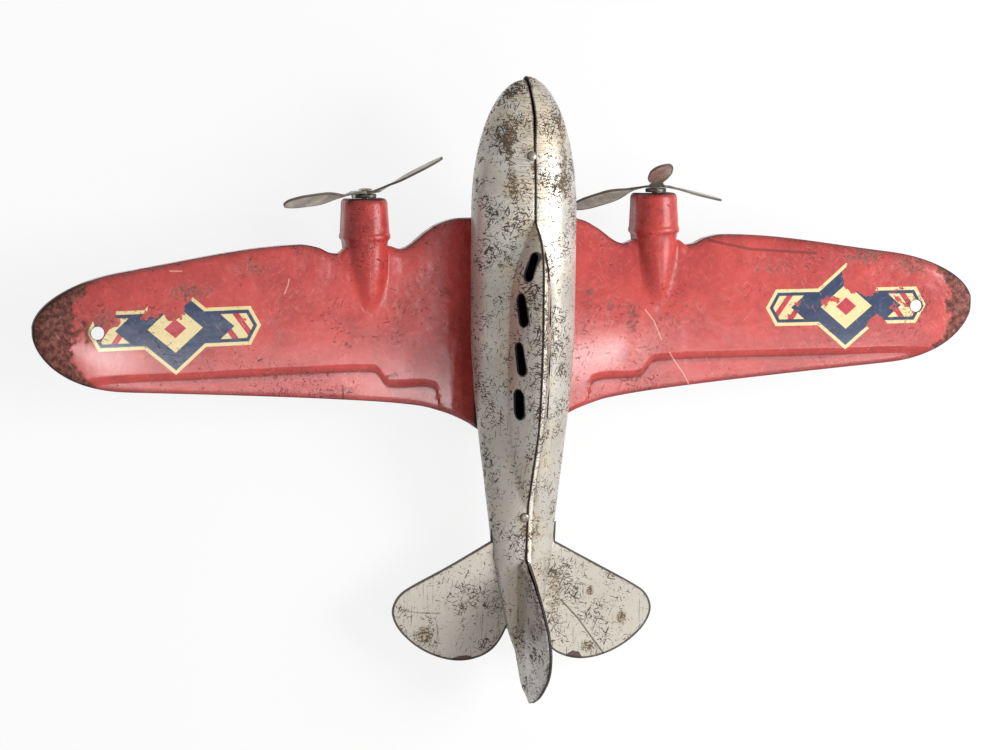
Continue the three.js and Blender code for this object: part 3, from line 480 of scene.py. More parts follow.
class Nodes:
    """Short calls for adding nodes to the node tree of a material or world."""

    def __init__(self, owner):
        owner.use_nodes = True
        self.tree = owner.node_tree

    def plug(self, socket, value):
        if isinstance(value, Value):
            self.tree.links.new(value.socket, socket)
        else:
            socket.default_value = (*srgb(value), 1) if isinstance(value, str) else value

    def node(self, kind, inputs=None, output=0, **settings):
        """Adds a node with its inputs and settings, and returns one of its outputs."""
        node = self.tree.nodes.new("ShaderNode" + kind)
        for name, value in settings.items():
            setattr(node, name, value)
        for name, value in (inputs or {}).items():
            self.plug(node.inputs[name], value)
        return Value(self, node.outputs[output])

    def math(self, operation, a, b=0.0):
        return self.node("Math", {0: a, 1: b}, operation=operation)

    def most(self, first, *others):
        for other in others:
            first = self.math("MAXIMUM", first, other)
        return first

    def ramp(self, value, low, high, out_low=0.0, out_high=1.0):
        """A smooth step; it falls where low is over high."""
        ends = {"From Min": low, "From Max": high, "To Min": out_low, "To Max": out_high}
        return self.node("MapRange", {"Value": value, **ends}, "Result", interpolation_type="SMOOTHSTEP")


class Shader(Nodes):
    """A node material. Coordinates are body millimetres, level with the wing."""

    def __init__(self, name, skew=0.0):
        self.material = bpy.data.materials.new(name)
        super().__init__(self.material)
        self.bsdf = self.tree.nodes["Principled BSDF"]
        at = self.node("TexCoord", output="Object")
        self.mm = self.mapping(at, (1 / MM, 1 / MM, 1 / MM), (-STAND, 0, 0), BODY_AT)
        if skew:
            self.mm = self.mapping(self.mm, rotation=(0, 0, -skew))
        self.x, self.y, self.z = self.split(self.mm)

    def mapping(self, vector, scale=(1, 1, 1), rotation=(0, 0, 0), location=(0, 0, 0)):
        inputs = {"Vector": vector, "Scale": scale, "Rotation": rotation, "Location": location}
        return self.node("Mapping", inputs)

    def noise(self, scale, detail, roughness=0.55, vector=None, distortion=0.0):
        inputs = {"Vector": vector or self.mm, "Scale": scale, "Detail": detail, "Roughness": roughness}
        return self.node("TexNoise", {**inputs, "Distortion": distortion}, "Fac")

    def mix(self, fac, a, b):
        return self.node("Mix", {0: fac, 6: a, 7: b}, 2, data_type="RGBA")

    def attribute(self, name):
        return self.node("Attribute", output="Fac", attribute_name=name)

    def split(self, vector):
        first = self.node("SeparateXYZ", {0: vector})
        return [Value(self, socket) for socket in first.socket.node.outputs]

    def faces_up(self):
        """1 on faces that look up, 0 on the underside."""
        return self.ramp(self.split(self.node("NewGeometry", output="True Normal"))[2], 0.0, 0.2)

    def streaks(self, angle, length, width, depth, seed=0.0, bend=0.0):
        """Noise drawn out into lines that run at an angle in the XY plane."""
        turned = self.mapping(self.mm, rotation=(0, 0, angle), location=(seed, seed, seed))
        return self.noise(1.0, 2, 0.5, self.mapping(turned, scale=(1 / length, 1 / width, 1 / depth)), bend)

    def scratches(self, angle, length, width, threshold, seed=0.0):
        """Thin broken lines."""
        return self.ramp(self.streaks(angle, length, width, length, seed), threshold, threshold + 0.03)

    def spots(self, *rows):
        """Soft round marks, each given by its place in XY, half sizes in X and Y, and strength."""
        marks = []
        for x, y, rx, ry, *strength in rows:
            u, v = (self.x - x) / rx, (self.y - y) / ry
            marks.append(self.ramp(u * u + v * v, 1.0, 0.0, 0.0, *strength))
        return self.most(*marks)

    def line(self, points, width):
        """A scratch along straight legs through points in the XY plane."""
        marks = []
        for (x0, y0), (x1, y1) in zip(points, points[1:]):
            length = math.hypot(x1 - x0, y1 - y0)
            dx, dy = (x1 - x0) / length, (y1 - y0) / length
            px, py = self.x - x0, self.y - y0
            beyond = abs(px * dx + py * dy - length / 2) - length / 2
            marks.append(self.ramp(self.most(beyond, abs(py * dx - px * dy)), width, width * 0.4))
        return self.most(*marks)

    def output(self, colour, roughness, metallic, height, strength, distance, **others):
        """Plugs everything into the surface and returns the material."""
        normal = self.node("Bump", {"Height": height, "Strength": strength, "Distance": distance * MM})
        inputs = {"Base Color": colour, "Roughness": roughness, "Metallic": metallic, "Normal": normal}
        for name, value in {**inputs, **others}.items():
            self.plug(self.bsdf.inputs[name], value)
        return self.material


# Turn, length and width of the four sets of strokes
STROKES = ((0.35, 2.7, 0.46), (1.18, 1.8, 0.54), (2.01, 3.8, 0.40), (2.84, 2.2, 0.50))


def strokes(s, dense, seeds=(0, 31, 57, 83)):
    """Short curved flecks in several directions, thicker where dense is high."""
    sets = [s.streaks(*row, 2.4, seed, 0.35) for row, seed in zip(STROKES, seeds)]
    return s.most(*[s.ramp(value + dense, 0.685, 0.705) for value in sets])


def silver_paint():
    s = Shader("worn_silver_lacquer", FUSELAGE_SKEW)
    edge = s.attribute("edge")
    tail = s.ramp(s.y, -74, -80)
    nose = s.ramp(s.y, 50, 76)
    side = abs(s.x)

    # Lacquer: cloudy, yellowed towards the seam, with tan and grey stains, painted shade towards the tail and
    # a painted highlight beside the seam
    cloud = s.noise(0.05, 4, 0.6)
    base = s.mix(s.ramp(cloud, 0.36, 0.64), "#b6b2aa", "#d0ccc3")
    aged = s.ramp(s.noise(0.07, 4, 0.6) + s.ramp(side, 14, 2, 0.0, 0.12) + nose * 0.06, 0.50, 0.74)
    base = s.mix(aged * 0.55, base, "#c4b08e")
    grime = s.ramp(s.noise(0.2, 6, 0.68), 0.52, 0.72)
    base = s.mix(grime * 0.45, base, "#847869")
    # Painted shade: the lacquer turns greyer and darker towards the tail
    base = s.mix(s.ramp(s.y, 30, -30, 0.0, 0.4), base, "#989188")
    # Painted highlight: a near-white strip on the right pressing just beside the seam, from the cabin front
    # back
    seam_lip_highlight = s.ramp(s.x, 0.2, 0.5) * s.ramp(s.x, 1.9, 1.5) * s.ramp(s.y, 26, 16)
    base = s.mix(seam_lip_highlight * 0.7, base, "#f4ecdc")
    stain = s.ramp(abs(s.x - 2.2), 0.6, 0.2)
    stain = stain * s.ramp(s.y, 30, 18) * s.ramp(s.noise(0.5, 5, 0.7), 0.42, 0.6)
    base = s.mix(stain * 0.7, base, "#70583e")
    flat = tail * s.ramp(s.z, 19.4, 18.6)
    base = s.mix(flat * 0.6, base, "#d6cfc1")
    fin = s.ramp(s.z, 24, 28) * s.ramp(s.y, -82, -90)
    pale = s.mix(s.ramp(s.noise(0.12, 4), 0.4, 0.6), "#aea8a6", "#cec9c8")
    base = s.mix(fin * 0.75, base, pale)

    # Flecks and scratches, thickest at the nose, along the shoulders and at the tailplane root
    wander = (s.noise(0.22, 3) - 0.5) * 7.0
    shoulder = abs(abs(s.x - 1.2) + wander - 9.2)
    shoulder = s.ramp(shoulder, 2.3, 0.3) * s.ramp(s.y, 38, 46) * s.ramp(s.y, 76, 64)
    root = s.spots((12, -88, 13, 15)) * s.ramp(s.x, 3, 7)
    ridge = s.ramp(side, 3.2, 1.0) * s.ramp(s.y, 30, 12)
    dense = s.ramp(s.noise(0.09, 5, 0.65), 0.37, 0.66, -0.012, 0.1) + nose * 0.04 + shoulder * 0.07
    dense = dense + root * 0.05 + ridge * 0.03 - tail * 0.02
    flecks = strokes(s, dense)
    fine = s.ramp(s.noise(1.5, 3, 0.6) + dense, 0.69, 0.72)
    combed = s.scratches(0.03, 7.0, 0.42, 0.56, 11.0) * s.ramp(side, 9, 5) * s.ramp(s.y, 26, 44)
    drawn = s.scratches(math.pi / 2, 9.0, 0.4, 0.66, 23.0) * s.ramp(s.y, 20, 0)
    wear = s.most(flecks, fine, drawn * 0.7)
    rust = s.mix(s.ramp(s.noise(0.8, 2), 0.4, 0.62), "#160f0d", "#4e3624")
    colour = s.mix(combed * 0.6, base, "#927852")
    colour = s.mix(wear * 0.92, colour, rust)

    # Rust on the shoulders, stains behind the rivets and spots on the tailplane
    crust = s.ramp(s.noise(1.3, 5, 0.75) + shoulder * 0.09, 0.64, 0.67)
    colour = s.mix(shoulder * 0.25, colour, "#967c56")
    colour = s.mix(crust * 0.9, colour, s.mix(s.noise(1.1, 3), "#1e140e", "#60462c"))
    mark = s.spots((-0.4, 53.0, 2.2, 3.2), (-0.6, -68.4, 2.0, 3.4), (-34.1, -104.5, 5.4, 4.6),
                   (23.8, -111.2, 4.2, 3.4), (24.0, -91.6, 2.2, 2.8), (35.5, -101.4, 2.6, 4.0),
                   (29.0, -96.5, 6.0, 4.5, 0.5), (11.5, -93.0, 4.0, 13.0, 0.75))
    tan = s.ramp(mark * 0.26 + s.noise(0.6, 5, 0.7), 0.60, 0.80)
    colour = s.mix(tan * 0.6, colour, "#967a54")
    pitted = s.ramp(mark * 0.23 + s.noise(1.5, 4, 0.7), 0.69, 0.73)
    colour = s.mix(pitted * 0.85, colour, "#422e21")
    ring = s.spots(*[(RIVET_X, y, RIVET_HEAD + 0.45, RIVET_HEAD + 0.45) for y in SEAM_RIVETS.values()])
    colour = s.mix(s.ramp(ring, 0.05, 0.5), colour, "#30241c")
    bare = s.spots((-20.5, -114.6, 6.5, 3.2), (18.4, -115.0, 4.0, 3.2))
    bare = s.ramp(bare + s.noise(0.7, 4, 0.65) * 0.9, 0.80, 0.86) * tail
    colour = s.mix(bare, colour, s.mix(s.noise(0.9, 3), "#42322e", "#685650"))
    cut = s.line([(13.9, -94.7), (19.7, -100.9), (24.4, -107.4), (29.9, -114.7)], 0.4)
    cut = s.most(cut, s.line([(-42.5, -95.6), (-35, -96.9), (-28.6, -97.2)], 0.3) * 0.6)
    colour = s.mix(cut * 0.8, colour, "#3c2e26")

    # Bare dark metal on every cut edge, and painted shade on the inner faces and the walls of the windows
    rim = s.ramp(edge + s.noise(0.8, 3) * -0.5, 0.28, -0.1)
    colour = s.mix(rim * 0.9, colour, "#2c221e")
    # Painted shade: inner faces and window walls dark purple-grey, near-black by the cut edges
    inside = s.attribute("inside")
    colour = s.mix(inside, colour, s.mix(rim, "#54464a", "#140f10"))
    worn = s.most(wear, crust, pitted, bare, rim, inside)
    rough = s.ramp(worn + aged * 0.3 + flat * 0.5, 0, 1, 0.33, 0.7)
    colour = s.mix(flat * 0.06, colour, "#787062")
    height = worn * -0.8 + s.noise(0.06, 2) * 1.2
    metallic = s.ramp(s.most(worn, flat), 0, 1, 0.32, 0.0)
    return s.output(colour, rough, metallic, height, 0.22, 0.6, **{"Specular IOR Level": 0.3})


def decal(s):
    """A made-up lozenge panel for each wing: where it is, and its colour."""
    u = abs(s.x) - 117.0
    v = s.y - 2.4
    au, av = abs(u), abs(v)
    half_x, half_y = 17.5, 15.2
    slope = half_x * half_y / math.hypot(half_x, half_y)
    lozenge = (au / half_x + av / half_y - 1.0) * slope
    ends = (au + av * 0.55 - 28.6) * 0.876
    bar = s.most(av - 6.4, ends)
    shape = s.math("MINIMUM", lozenge, bar)
    blue = s.mix(s.noise(0.35, 4), "#122648", "#20385e")
    cream = s.mix(s.noise(0.4, 4), "#e2cc8c", "#f0e0ac")
    red = s.mix(s.noise(0.5, 3), "#b02038", "#c42c42")
    colour = s.mix(s.ramp(shape, -1.25, -1.05), blue, cream)
    stripe = s.math("FRACT", (au + v * 0.7 + 100.0) / 6.0)
    stripe = s.ramp(abs(stripe - 0.5), 0.17, 0.2)
    field = s.ramp(bar, -2.2, -2.4) * s.ramp(lozenge, 1.3, 1.5)
    colour = s.mix(field, colour, s.mix(stripe, red, cream))
    colour = s.mix(s.ramp(lozenge, -5.4, -5.6), colour, cream)
    colour = s.mix(s.ramp(lozenge, -9.0, -9.2), colour, red)

    # Flaked away in patches, most along the upper edge and round the hole
    outer = s.spots((-121, 12, 13, 9, 0.3), (-140, 7.5, 10, 6, 0.24), (124, 12.5, 10, 9, 0.3),
                    (108, 4, 9, 7, 0.16), (128, -7, 5, 9, 0.2), (136, 4, 6, 7, 0.16), (97, 1.5, 8, 4, 0.14))
    lost = s.ramp(s.noise(0.17, 6, 0.62) + outer, 0.655, 0.668)
    nicks = s.ramp(s.noise(0.9, 4, 0.65), 0.665, 0.68)
    there = s.ramp(shape, 0.1, -0.1) * (s.most(lost, nicks) * -1.0 + 1.0)
    return there * s.faces_up(), colour


def red_paint():
    s = Shader("worn_red_enamel")
    edge = s.attribute("edge")
    crease = s.attribute("crease")
    span = abs(s.x)
    cloud = s.noise(0.04, 4, 0.6)
    base = s.mix(s.ramp(cloud, 0.36, 0.64), "#b03835", "#c94641")
    dull = s.ramp(s.noise(0.13, 6, 0.66), 0.47, 0.7)
    base = s.mix(dull * 0.6, base, "#9e302e")
    mottled = s.ramp(s.noise(0.6, 5, 0.68), 0.5, 0.72)
    base = s.mix(mottled * 0.5, base, "#d85e56")
    barrel = s.ramp(abs(span - NACELLE_X), 9.5, 7.0) * s.ramp(s.y, 16, 30)
    # Darker red: painted shade with some dirt along the trailing crease, dirt near the edges and mottling on
    # the barrels
    crease_shade_and_dirt = s.most(crease * 0.5, s.ramp(edge, 0.0, 2.4, 0.5, 0.0),
                  barrel * s.ramp(s.noise(0.35, 5, 0.66), 0.45, 0.7, 0.0, 0.4))
    colour = s.mix(crease_shade_and_dirt, base, "#541818")

    # The decal lies over the red, and all later wear cuts through both
    there, printed = decal(s)
    colour = s.mix(there, colour, printed)

    # Flecks, pits and rubbed patches
    dense = s.ramp(s.noise(0.06, 4, 0.6), 0.40, 0.68, -0.03, 0.06) + s.ramp(edge, 0.0, 7.0, 0.04, 0.0)
    dense = dense + crease * 0.03 + barrel * 0.025
    flecks = strokes(s, dense - 0.035, (5, 37, 61, 97))
    patches = s.spots((41.6, 0, 4.5, 9), (26.7, 9.6, 3, 2.4), (56.4, 16, 4, 8, 0.75), (33.6, 4.5, 2, 4),
                      (90, 17, 14, 6, 0.7), (124, 20, 12, 4.5), (141, 17, 11, 6), (58, 2, 8, 9, 0.6),
                      (-58.8, -5.6, 2.4, 2), (-91.7, 21, 12, 4, 0.8), (-126, 23.4, 10, 3.4),
                      (-112, 14, 12, 5), (-43.4, -17.2, 4, 2.4), (-62, -21.5, 12, 3.2, 0.8), (-140, 6, 6, 5))
    rubbed = s.ramp(patches * 0.24 + s.noise(0.8, 6, 0.75), 0.66, 0.80)
    pits = s.ramp(s.noise(1.3, 4, 0.68) + dense, 0.68, 0.715)
    metal = s.mix(s.ramp(s.noise(0.7, 3), 0.4, 0.65), "#220c0b", "#56362e")
    colour = s.mix(s.most(flecks * 0.9, pits) * 0.85, colour, metal)
    scuffed = s.mix(s.ramp(s.noise(1.6, 3), 0.4, 0.6), "#3e221e", "#866056")
    colour = s.mix(rubbed * 0.8, colour, scuffed)
    chips = s.most(flecks * 0.9, pits, rubbed * 0.85)

    # Bare tips: wide and blackened on the left, a narrow band on the right
    left = s.ramp(s.x, -138, -160) * 0.62
    right = s.ramp(s.x, 146, 159) * 0.54
    band = s.ramp(edge, 6.0, 0.0) * s.ramp(span, 112, 150, 0.0, 0.25)
    tip = left + right + band + s.noise(0.2, 6, 0.68) * 0.9
    gone = s.ramp(tip, 0.72, 0.88)
    bare = s.mix(s.ramp(s.noise(0.6, 5, 0.7), 0.38, 0.64), "#281b18", "#785045")
    colour = s.mix(gone * 0.9, colour, bare)

    # Long scratches: pale ones down to primer, dark ones full of dirt
    pale = s.line([(46.0, 2.7), (49.0, -1.2), (51.8, -7.9)], 0.3)
    pale = s.most(pale, s.line([(54.7, -12.4), (60.1, -20.1), (61.9, -23.6)], 0.3),
                  s.line([(-80.2, 12.4), (-79.0, 15.2), (-78.6, 17.0)], 0.32),
                  s.line([(-118.2, 21.1), (-114.3, 20.9)], 0.3),
                  s.scratches(1.0, 6.0, 0.34, 0.695, 73.0) * 0.45,
                  s.scratches(2.3, 5.0, 0.34, 0.695, 41.0) * 0.4)
    colour = s.mix(pale * 0.7, colour, "#ecaa9a")
    dark = s.most(s.line([(68.8, 26.2), (82.9, 23.0), (105.9, 21.2)], 0.7),
                  s.line([(-60.6, -19.6), (-60.3, -24)], 0.5))
    colour = s.mix(dark * 0.6, colour, "#541e20")
    rim = s.ramp(edge + s.noise(0.6, 3) * -0.6, 0.05, -0.35)
    face = barrel * s.ramp(s.y + s.noise(0.5, 3) * 0.6, NACELLE_FRONT - 0.4, NACELLE_FRONT)
    rim = s.most(rim, face * 0.7)
    colour = s.mix(rim, colour, "#221412")

    # Painted shade: the upper face of the strip inside the fuselage is coloured near-black
    painted_shade_strip = s.ramp(span, 14.8, 13.6) * s.faces_up()
    colour = s.mix(painted_shade_strip, colour, "#1e1819")

    worn = s.most(chips, gone, rim, dark * 0.6)
    root_step = s.ramp(s.y, 2, -10) * s.ramp(span + s.y * 0.08, 22.5, 19.5)
    waves = s.noise(0.08, 3) * 6.0 + s.noise(0.4, 2) * 0.3 + root_step * 1.6
    nacelle = s.ramp(abs(span - NACELLE_X), 11.0, 8.0) * s.ramp(s.y, -2, 4)
    coat = s.ramp(s.most(worn, nacelle * 0.6), 0.1, 0.9, 0.5, 0.0)
    rough = s.ramp(worn + s.noise(0.25, 3) * 0.3 + nacelle * 0.25, 0.1, 1, 0.26, 0.6)
    gloss = {"Coat Weight": coat, "Coat Roughness": 0.14, "Specular IOR Level": 0.3}
    height = waves - worn + there * 0.3
    return s.output(colour, rough, s.ramp(gone, 0, 1, 0.0, 0.3), height, 0.32, 0.4, **gloss)


def tin():
    s = Shader("dull_tin_plate")
    edge = s.attribute("edge")
    base = s.mix(s.ramp(s.noise(0.25, 4), 0.35, 0.7), "#928a7e", "#bab2a4")
    spots = s.ramp(s.noise(1.3, 4, 0.65), 0.57, 0.66)
    lines = s.scratches(0.4, 5.0, 0.3, 0.66)
    rim = s.ramp(edge + s.noise(0.9, 3) * -0.6, 0.4, 0.0)
    wear = s.most(spots * 0.6, lines * 0.7, rim)
    colour = s.mix(wear * 0.85, base, "#483e36")
    return s.output(colour, s.ramp(wear, 0, 1, 0.36, 0.6), s.ramp(wear, 0, 1, 0.6, 0.35), wear, 0.2, 0.3)


def steel(name, dark, light, roughness):
    s = Shader(name)
    base = s.mix(s.ramp(s.noise(0.5, 4), 0.35, 0.7), dark, light)
    pits = s.ramp(s.noise(1.8, 4, 0.65), 0.58, 0.66)
    colour = s.mix(pits * 0.8, base, "#543a2a")
    return s.output(colour, s.ramp(pits, 0, 1, roughness, 0.7), s.ramp(pits, 0, 1, 0.8, 0.3), pits, 0.3, 0.3)


def black_wood():
    s = Shader("black_painted_wood")
    grain_at = s.mapping(s.mm, scale=(1, 0.12, 0.12))
    grain = s.noise(1.6, 4, 0.6, grain_at)
    rub = s.attribute("edge")
    worn = s.ramp(s.noise(0.6, 4, 0.65) + s.ramp(rub, 0, 1.2, 0.1, 0.0), 0.6, 0.68)
    base = s.mix(s.ramp(grain, 0.35, 0.7), "#1c1b1b", "#2e2c2a")
    colour = s.mix(worn * 0.7, base, "#806042")
    return s.output(colour, s.ramp(worn, 0, 1, 0.42, 0.7), 0.0, grain, 0.25, 0.4)


SILVER = silver_paint()
RED = red_paint()
TIN = tin()
DARK = steel("tarnished_steel", "#423c37", "#68625c", 0.45)
BRIGHT = steel("rubbed_rivet_steel", "#787066", "#b0a89c", 0.32)
WIRE = steel("drawn_wire", "#6c6864", "#96928c", 0.35)
WOOD = black_wood()


# Wing
def clustered(count):
    """Places from 0 to 1, closer together towards both ends."""
    u = np.linspace(0, 1, count)
    return 0.5 * u + 0.5 * (0.5 - 0.5 * np.cos(np.pi * u))


def wing_object():
    # Stations from the middle outwards: root, nacelle, outer panel, and the tip, where they crowd
    spans = ((0, 36, 60), (36, 66, 90), (66, TIP_START, 90))
    tip = TIP_START + TIP_LENGTH * np.sin(np.linspace(0, np.pi / 2, 46))[1:]
    half = np.concatenate(([0.0], *(np.linspace(*span)[1:] for span in spans), tip))
    xs = np.concatenate((-half[:0:-1], half))[:, None]
    f = clustered(150)[None, :]
    front, back = wing_edges(xs)
    y = front + (back - front) * f
    top = stacked(xs, y, skin_top(xs, y))

    def rims(face, x, y0, y1):
        base = edge_plane(xs) - RIM_DEPTH
        steps = np.linspace(1, 0, 5)[:-1]
        lead = [stacked(x, y0, face[:, :1, 2] * (1 - t) + base * t) for t in steps]
        tail = [stacked(x, y1, face[:, -1:, 2] * (1 - t) + base * t) for t in steps[::-1]]
        return np.concatenate((*lead, face, *tail), axis=1)

    outer = rims(top, xs, front, back)
    shrink = (HALF_SPAN - SHEET) / HALF_SPAN
    lower = top.copy()
    lower[..., 0] *= shrink
    lower[..., 1] = (front - SHEET) + (back - front + 2 * SHEET) * f
    lower[..., 2] -= SHEET
    inner = rims(lower, xs * shrink, front - SHEET, back + SHEET)
    inner[:, 0, 2] = outer[:, 0, 2]
    inner[:, -1, 2] = outer[:, -1, 2]
    wing = clean(new_object("wing_skin", *sheet_mesh(close_tips(outer), close_tips(inner))))
    holes = []
    for side in (-1, 1):
        hole = lathe("hole", [(0, -20), (TIP_HOLE[2], -20), (TIP_HOLE[2], 40), (0, 40)], "z", 48)
        hole.data.transform(shift((side * TIP_HOLE[0], TIP_HOLE[1], 0)))
        holes.append(hole)
    subtract(wing, *holes)
    return merge(wing, nacelle_barrel(-1), nacelle_barrel(1))


def close_tips(grid):
    """Adds a last station at each tip that draws the skirt in to the middle of the chord."""
    ends = grid[[0, -1]]
    middle = (ends[:, :1, 1] + ends[:, -1:, 1]) / 2
    ends[..., 1] = middle + (ends[..., 1] - middle) * TIP_SLIT
    return np.concatenate((ends[:1], grid, ends[1:]))


def nacelle_barrel(side):
    """The drawn barrel ahead of the leading edge, open underneath."""
    ys = np.concatenate((np.linspace(22, 40, 60), np.linspace(40, NACELLE_FRONT, 16)[1:]))
    turn = np.linspace(0, np.pi, 61)

    def face(inset):
        at = np.minimum(ys, NACELLE_FRONT - inset)[:, None]
        r = nacelle_radius(at) - inset - 0.04
        arc = stacked(r * np.cos(turn), r * np.sin(turn))
        right = stacked(r, np.linspace(-SKIRT_DEPTH, -0.2, 12))
        left = right[:, ::-1] * (-1, 1)
        section = np.concatenate((right, arc, left), axis=1)
        wall = section[-1:] * np.linspace(1, 0, 9)[1:, None, None]
        section = np.concatenate((section, wall))
        station = np.concatenate((at, np.full((len(wall), 1), NACELLE_FRONT - inset)))
        return stacked(section[..., 0] + side * NACELLE_X, station, section[..., 1] + NACELLE_Z)

    return clean(new_object("barrel", *sheet_mesh(face(0), face(SHEET))))


def wing_attributes(obj):
    x, y, z = points_of(obj).T
    front, back = wing_edges(x)
    to_tip = HALF_SPAN - np.abs(x)
    edge = np.minimum(np.minimum(front - y, y - back), to_tip)
    on_barrel = (np.abs(np.abs(x) - NACELLE_X) < 10) & (y > 23)
    edge = np.where(on_barrel, np.minimum(NACELLE_FRONT - y, z - NACELLE_Z + SKIRT_DEPTH), edge)
    edge = np.where((edge < 1) & ~on_barrel, np.minimum(np.abs(edge), 1), edge)
    depth = edge_plane(x) - z
    on_skirt = (depth > 0.05) & ~on_barrel
    edge = np.where(on_skirt, np.minimum(depth, RIM_DEPTH - depth), edge)
    hole = np.hypot(np.abs(x) - TIP_HOLE[0], y - TIP_HOLE[1]) - TIP_HOLE[2]
    edge = np.minimum(edge, hole)
    point_attribute(obj, "edge", np.clip(edge, 0, 60) - 0.5 * smooth((np.abs(x) - 140) / 18))
    # Nearness to the crease above the trailing flange, which the red finish darkens, partly as painted shade
    width = flange_width(np.abs(x))
    off = np.abs(y - back - width + CREASE_WIDTH / 2)
    crease = smooth(1 - off / 1.8) * smooth(width / 3) * smooth((140 - np.abs(x)) / 30)
    point_attribute(obj, "crease", crease)


wing = wing_object()
wing_attributes(wing)
finish_piece(wing, "wing", RED, TO_ROW)


# Fuselage halves
def window_outline(length, width):
    straight = (length - width) / 2
    turn = np.linspace(-np.pi / 2, np.pi / 2, 14)
    right = [(straight + width / 2 * math.cos(t), width / 2 * math.sin(t)) for t in turn]
    left = [(-x, -y) for x, y in right]
    return right + left


def window_cutter(side, opening):
    y, z, slant, length, width = opening
    cutter = prism("window", window_outline(length, width), -3.5, 3.5)
    section = fuselage_section(np.array([y]), 0, side)
    x = side * float(half_breadth(section, np.array([z]))[0])
    turn = (
        shift((x, y, z))
        @ Matrix.Rotation(side * (math.pi / 2 - WINDOW_TILT), 4, "Y")
        @ Matrix.Rotation(side * math.pi / 2, 4, "Z")
        @ Matrix.Rotation(math.radians(-slant * side), 4, "Z")
    )
    cutter.data.transform(turn)
    return clean(cutter)


def wing_bay():
    """The space under the wing's upper face, in the fuselage's own frame."""
    xs = np.linspace(-24, 24, 49)[:, None]
    f = clustered(60)[None, :]
    front, back = wing_edges(xs)
    y = front + CLEARANCE + (back - front - 2 * CLEARANCE) * f
    z = wing_top(xs, front + (back - front) * f) + CLEARANCE
    top = stacked(xs, y, z)
    bottom = top.copy()
    bottom[..., 2] = -20
    bay = clean(new_object("bay", *sheet_mesh(top, bottom)))
    bay.data.transform(SKEW.inverted())
    return bay


TAILPLANE_HALF = ((27, -82.4), (38.5, -88.3), (43.6, -91.5), (46, -96.4), (45.2, -100.6), (42.2, -105.2),
                  (36, -110.4), (28.4, -113.8), (21, -114.9), (14.6, -113.6), (10.2, -111), (7.4, -107.2),
                  (5.6, -103))
TONGUE_HALF, TONGUE_SHIFT, TONGUE_FRONT, TONGUE_BACK = 11.3, -1.1, -67.0, -73.7
NOTCH = (3.2, -101.5)
TAILPLANE_RIM = 0.35


def rounded(points, passes, sharp):
    """Chaikin rounding of an open outline; corners whose index is in sharp stay."""
    points = [(np.array(p, float), i in sharp) for i, p in enumerate(points)]
    for _ in range(passes):
        out = [points[0]]
        for (p, p_stays), (q, q_stays) in zip(points, points[1:]):
            out.append((p, True) if p_stays else (0.75 * p + 0.25 * q, False))
            if not q_stays:
                out.append((0.25 * p + 0.75 * q, False))
        points = [*out, points[-1]]
    result = [points[0][0]]
    for p, _ in points[1:]:
        if math.dist(result[-1], p) > 0.05:
            result.append(p)
    return [tuple(p) for p in result]


def tailplane_outline():
    def half(sign):
        edge = TONGUE_HALF + sign * TONGUE_SHIFT
        points = rounded(((edge, TONGUE_FRONT), (edge, TONGUE_BACK), *TAILPLANE_HALF), 3, sharp=(0, 1))
        return [(sign * x, y) for x, y in [*points, NOTCH]]

    return half(1) + half(-1)[::-1]


def turned_tailplane(obj):
    middle = (TONGUE_BACK + NOTCH[1]) / 2
    place = shift((TAILPLANE_X, middle, TAILPLANE_Z))
    obj.data.transform(place @ Matrix.Rotation(TAILPLANE_SKEW, 4, "Z") @ shift((0, -middle, 0)))
    return obj


def tab(side, y):
    """A folded tab under the wing, and its stem through the slot."""
    level = float(wing_top(np.array([12.0]), np.array([y]))[0]) + 2.2
    section = fuselage_section(np.array([float(y)]), 0)
    x = float(half_breadth(section, np.array([level - 1.1]))[0]) - SHEET
    across, along = np.linspace(x - TAB_REACH, x + SHEET, 7), np.linspace(y - TAB_HALF, y + TAB_HALF, 9)
    sample_x, sample_y = np.meshgrid(across, along)
    seat = float(wing_top(sample_x, sample_y).min()) - SHEET - CLEARANCE
    parts = []
    for inner, high in ((x - SHEET / 2, level), (x + SHEET / 2 - TAB_REACH, seat)):
        ends = (inner, x + SHEET / 2) if side > 0 else (-x - SHEET / 2, -inner)
        outline = [(ends[i], y + j * TAB_HALF) for i, j in ((0, -1), (1, -1), (1, 1), (0, 1))]
        parts.append(prism("tab", outline, seat - SHEET, high))
    return merge(*parts)


def fuselage_half(side):
    tip = nose_tip(side)
    nose = NOSE_START + 4 + (tip - NOSE_START - 4) * np.sin(np.linspace(0, np.pi / 2, 70))
    ys = np.concatenate((np.linspace(TAIL_Y, -60, 130), np.linspace(-60, 16, 90)[1:],
                         np.linspace(16, NOSE_START + 4, 60)[1:], nose[1:]))

    def face(inset):
        at = ys - inset * np.maximum((ys - NOSE_START) / (tip - NOSE_START), 0) ** 2
        return fuselage_rows(at, inset, side) * (side, 1, 1)

    half = clean(new_object("fuselage", *sheet_mesh(face(0), face(SHEET))))
    reach = SHEET / 2 + CLEARANCE
    slot = turned_tailplane(prism("slot", tailplane_outline(), -reach, reach))
    subtract(half, wing_bay(), clean(slot), *[window_cutter(side, w) for w in WINDOWS])
    return merge(half, *[tab(side, y) for y in TAB_PLACES])


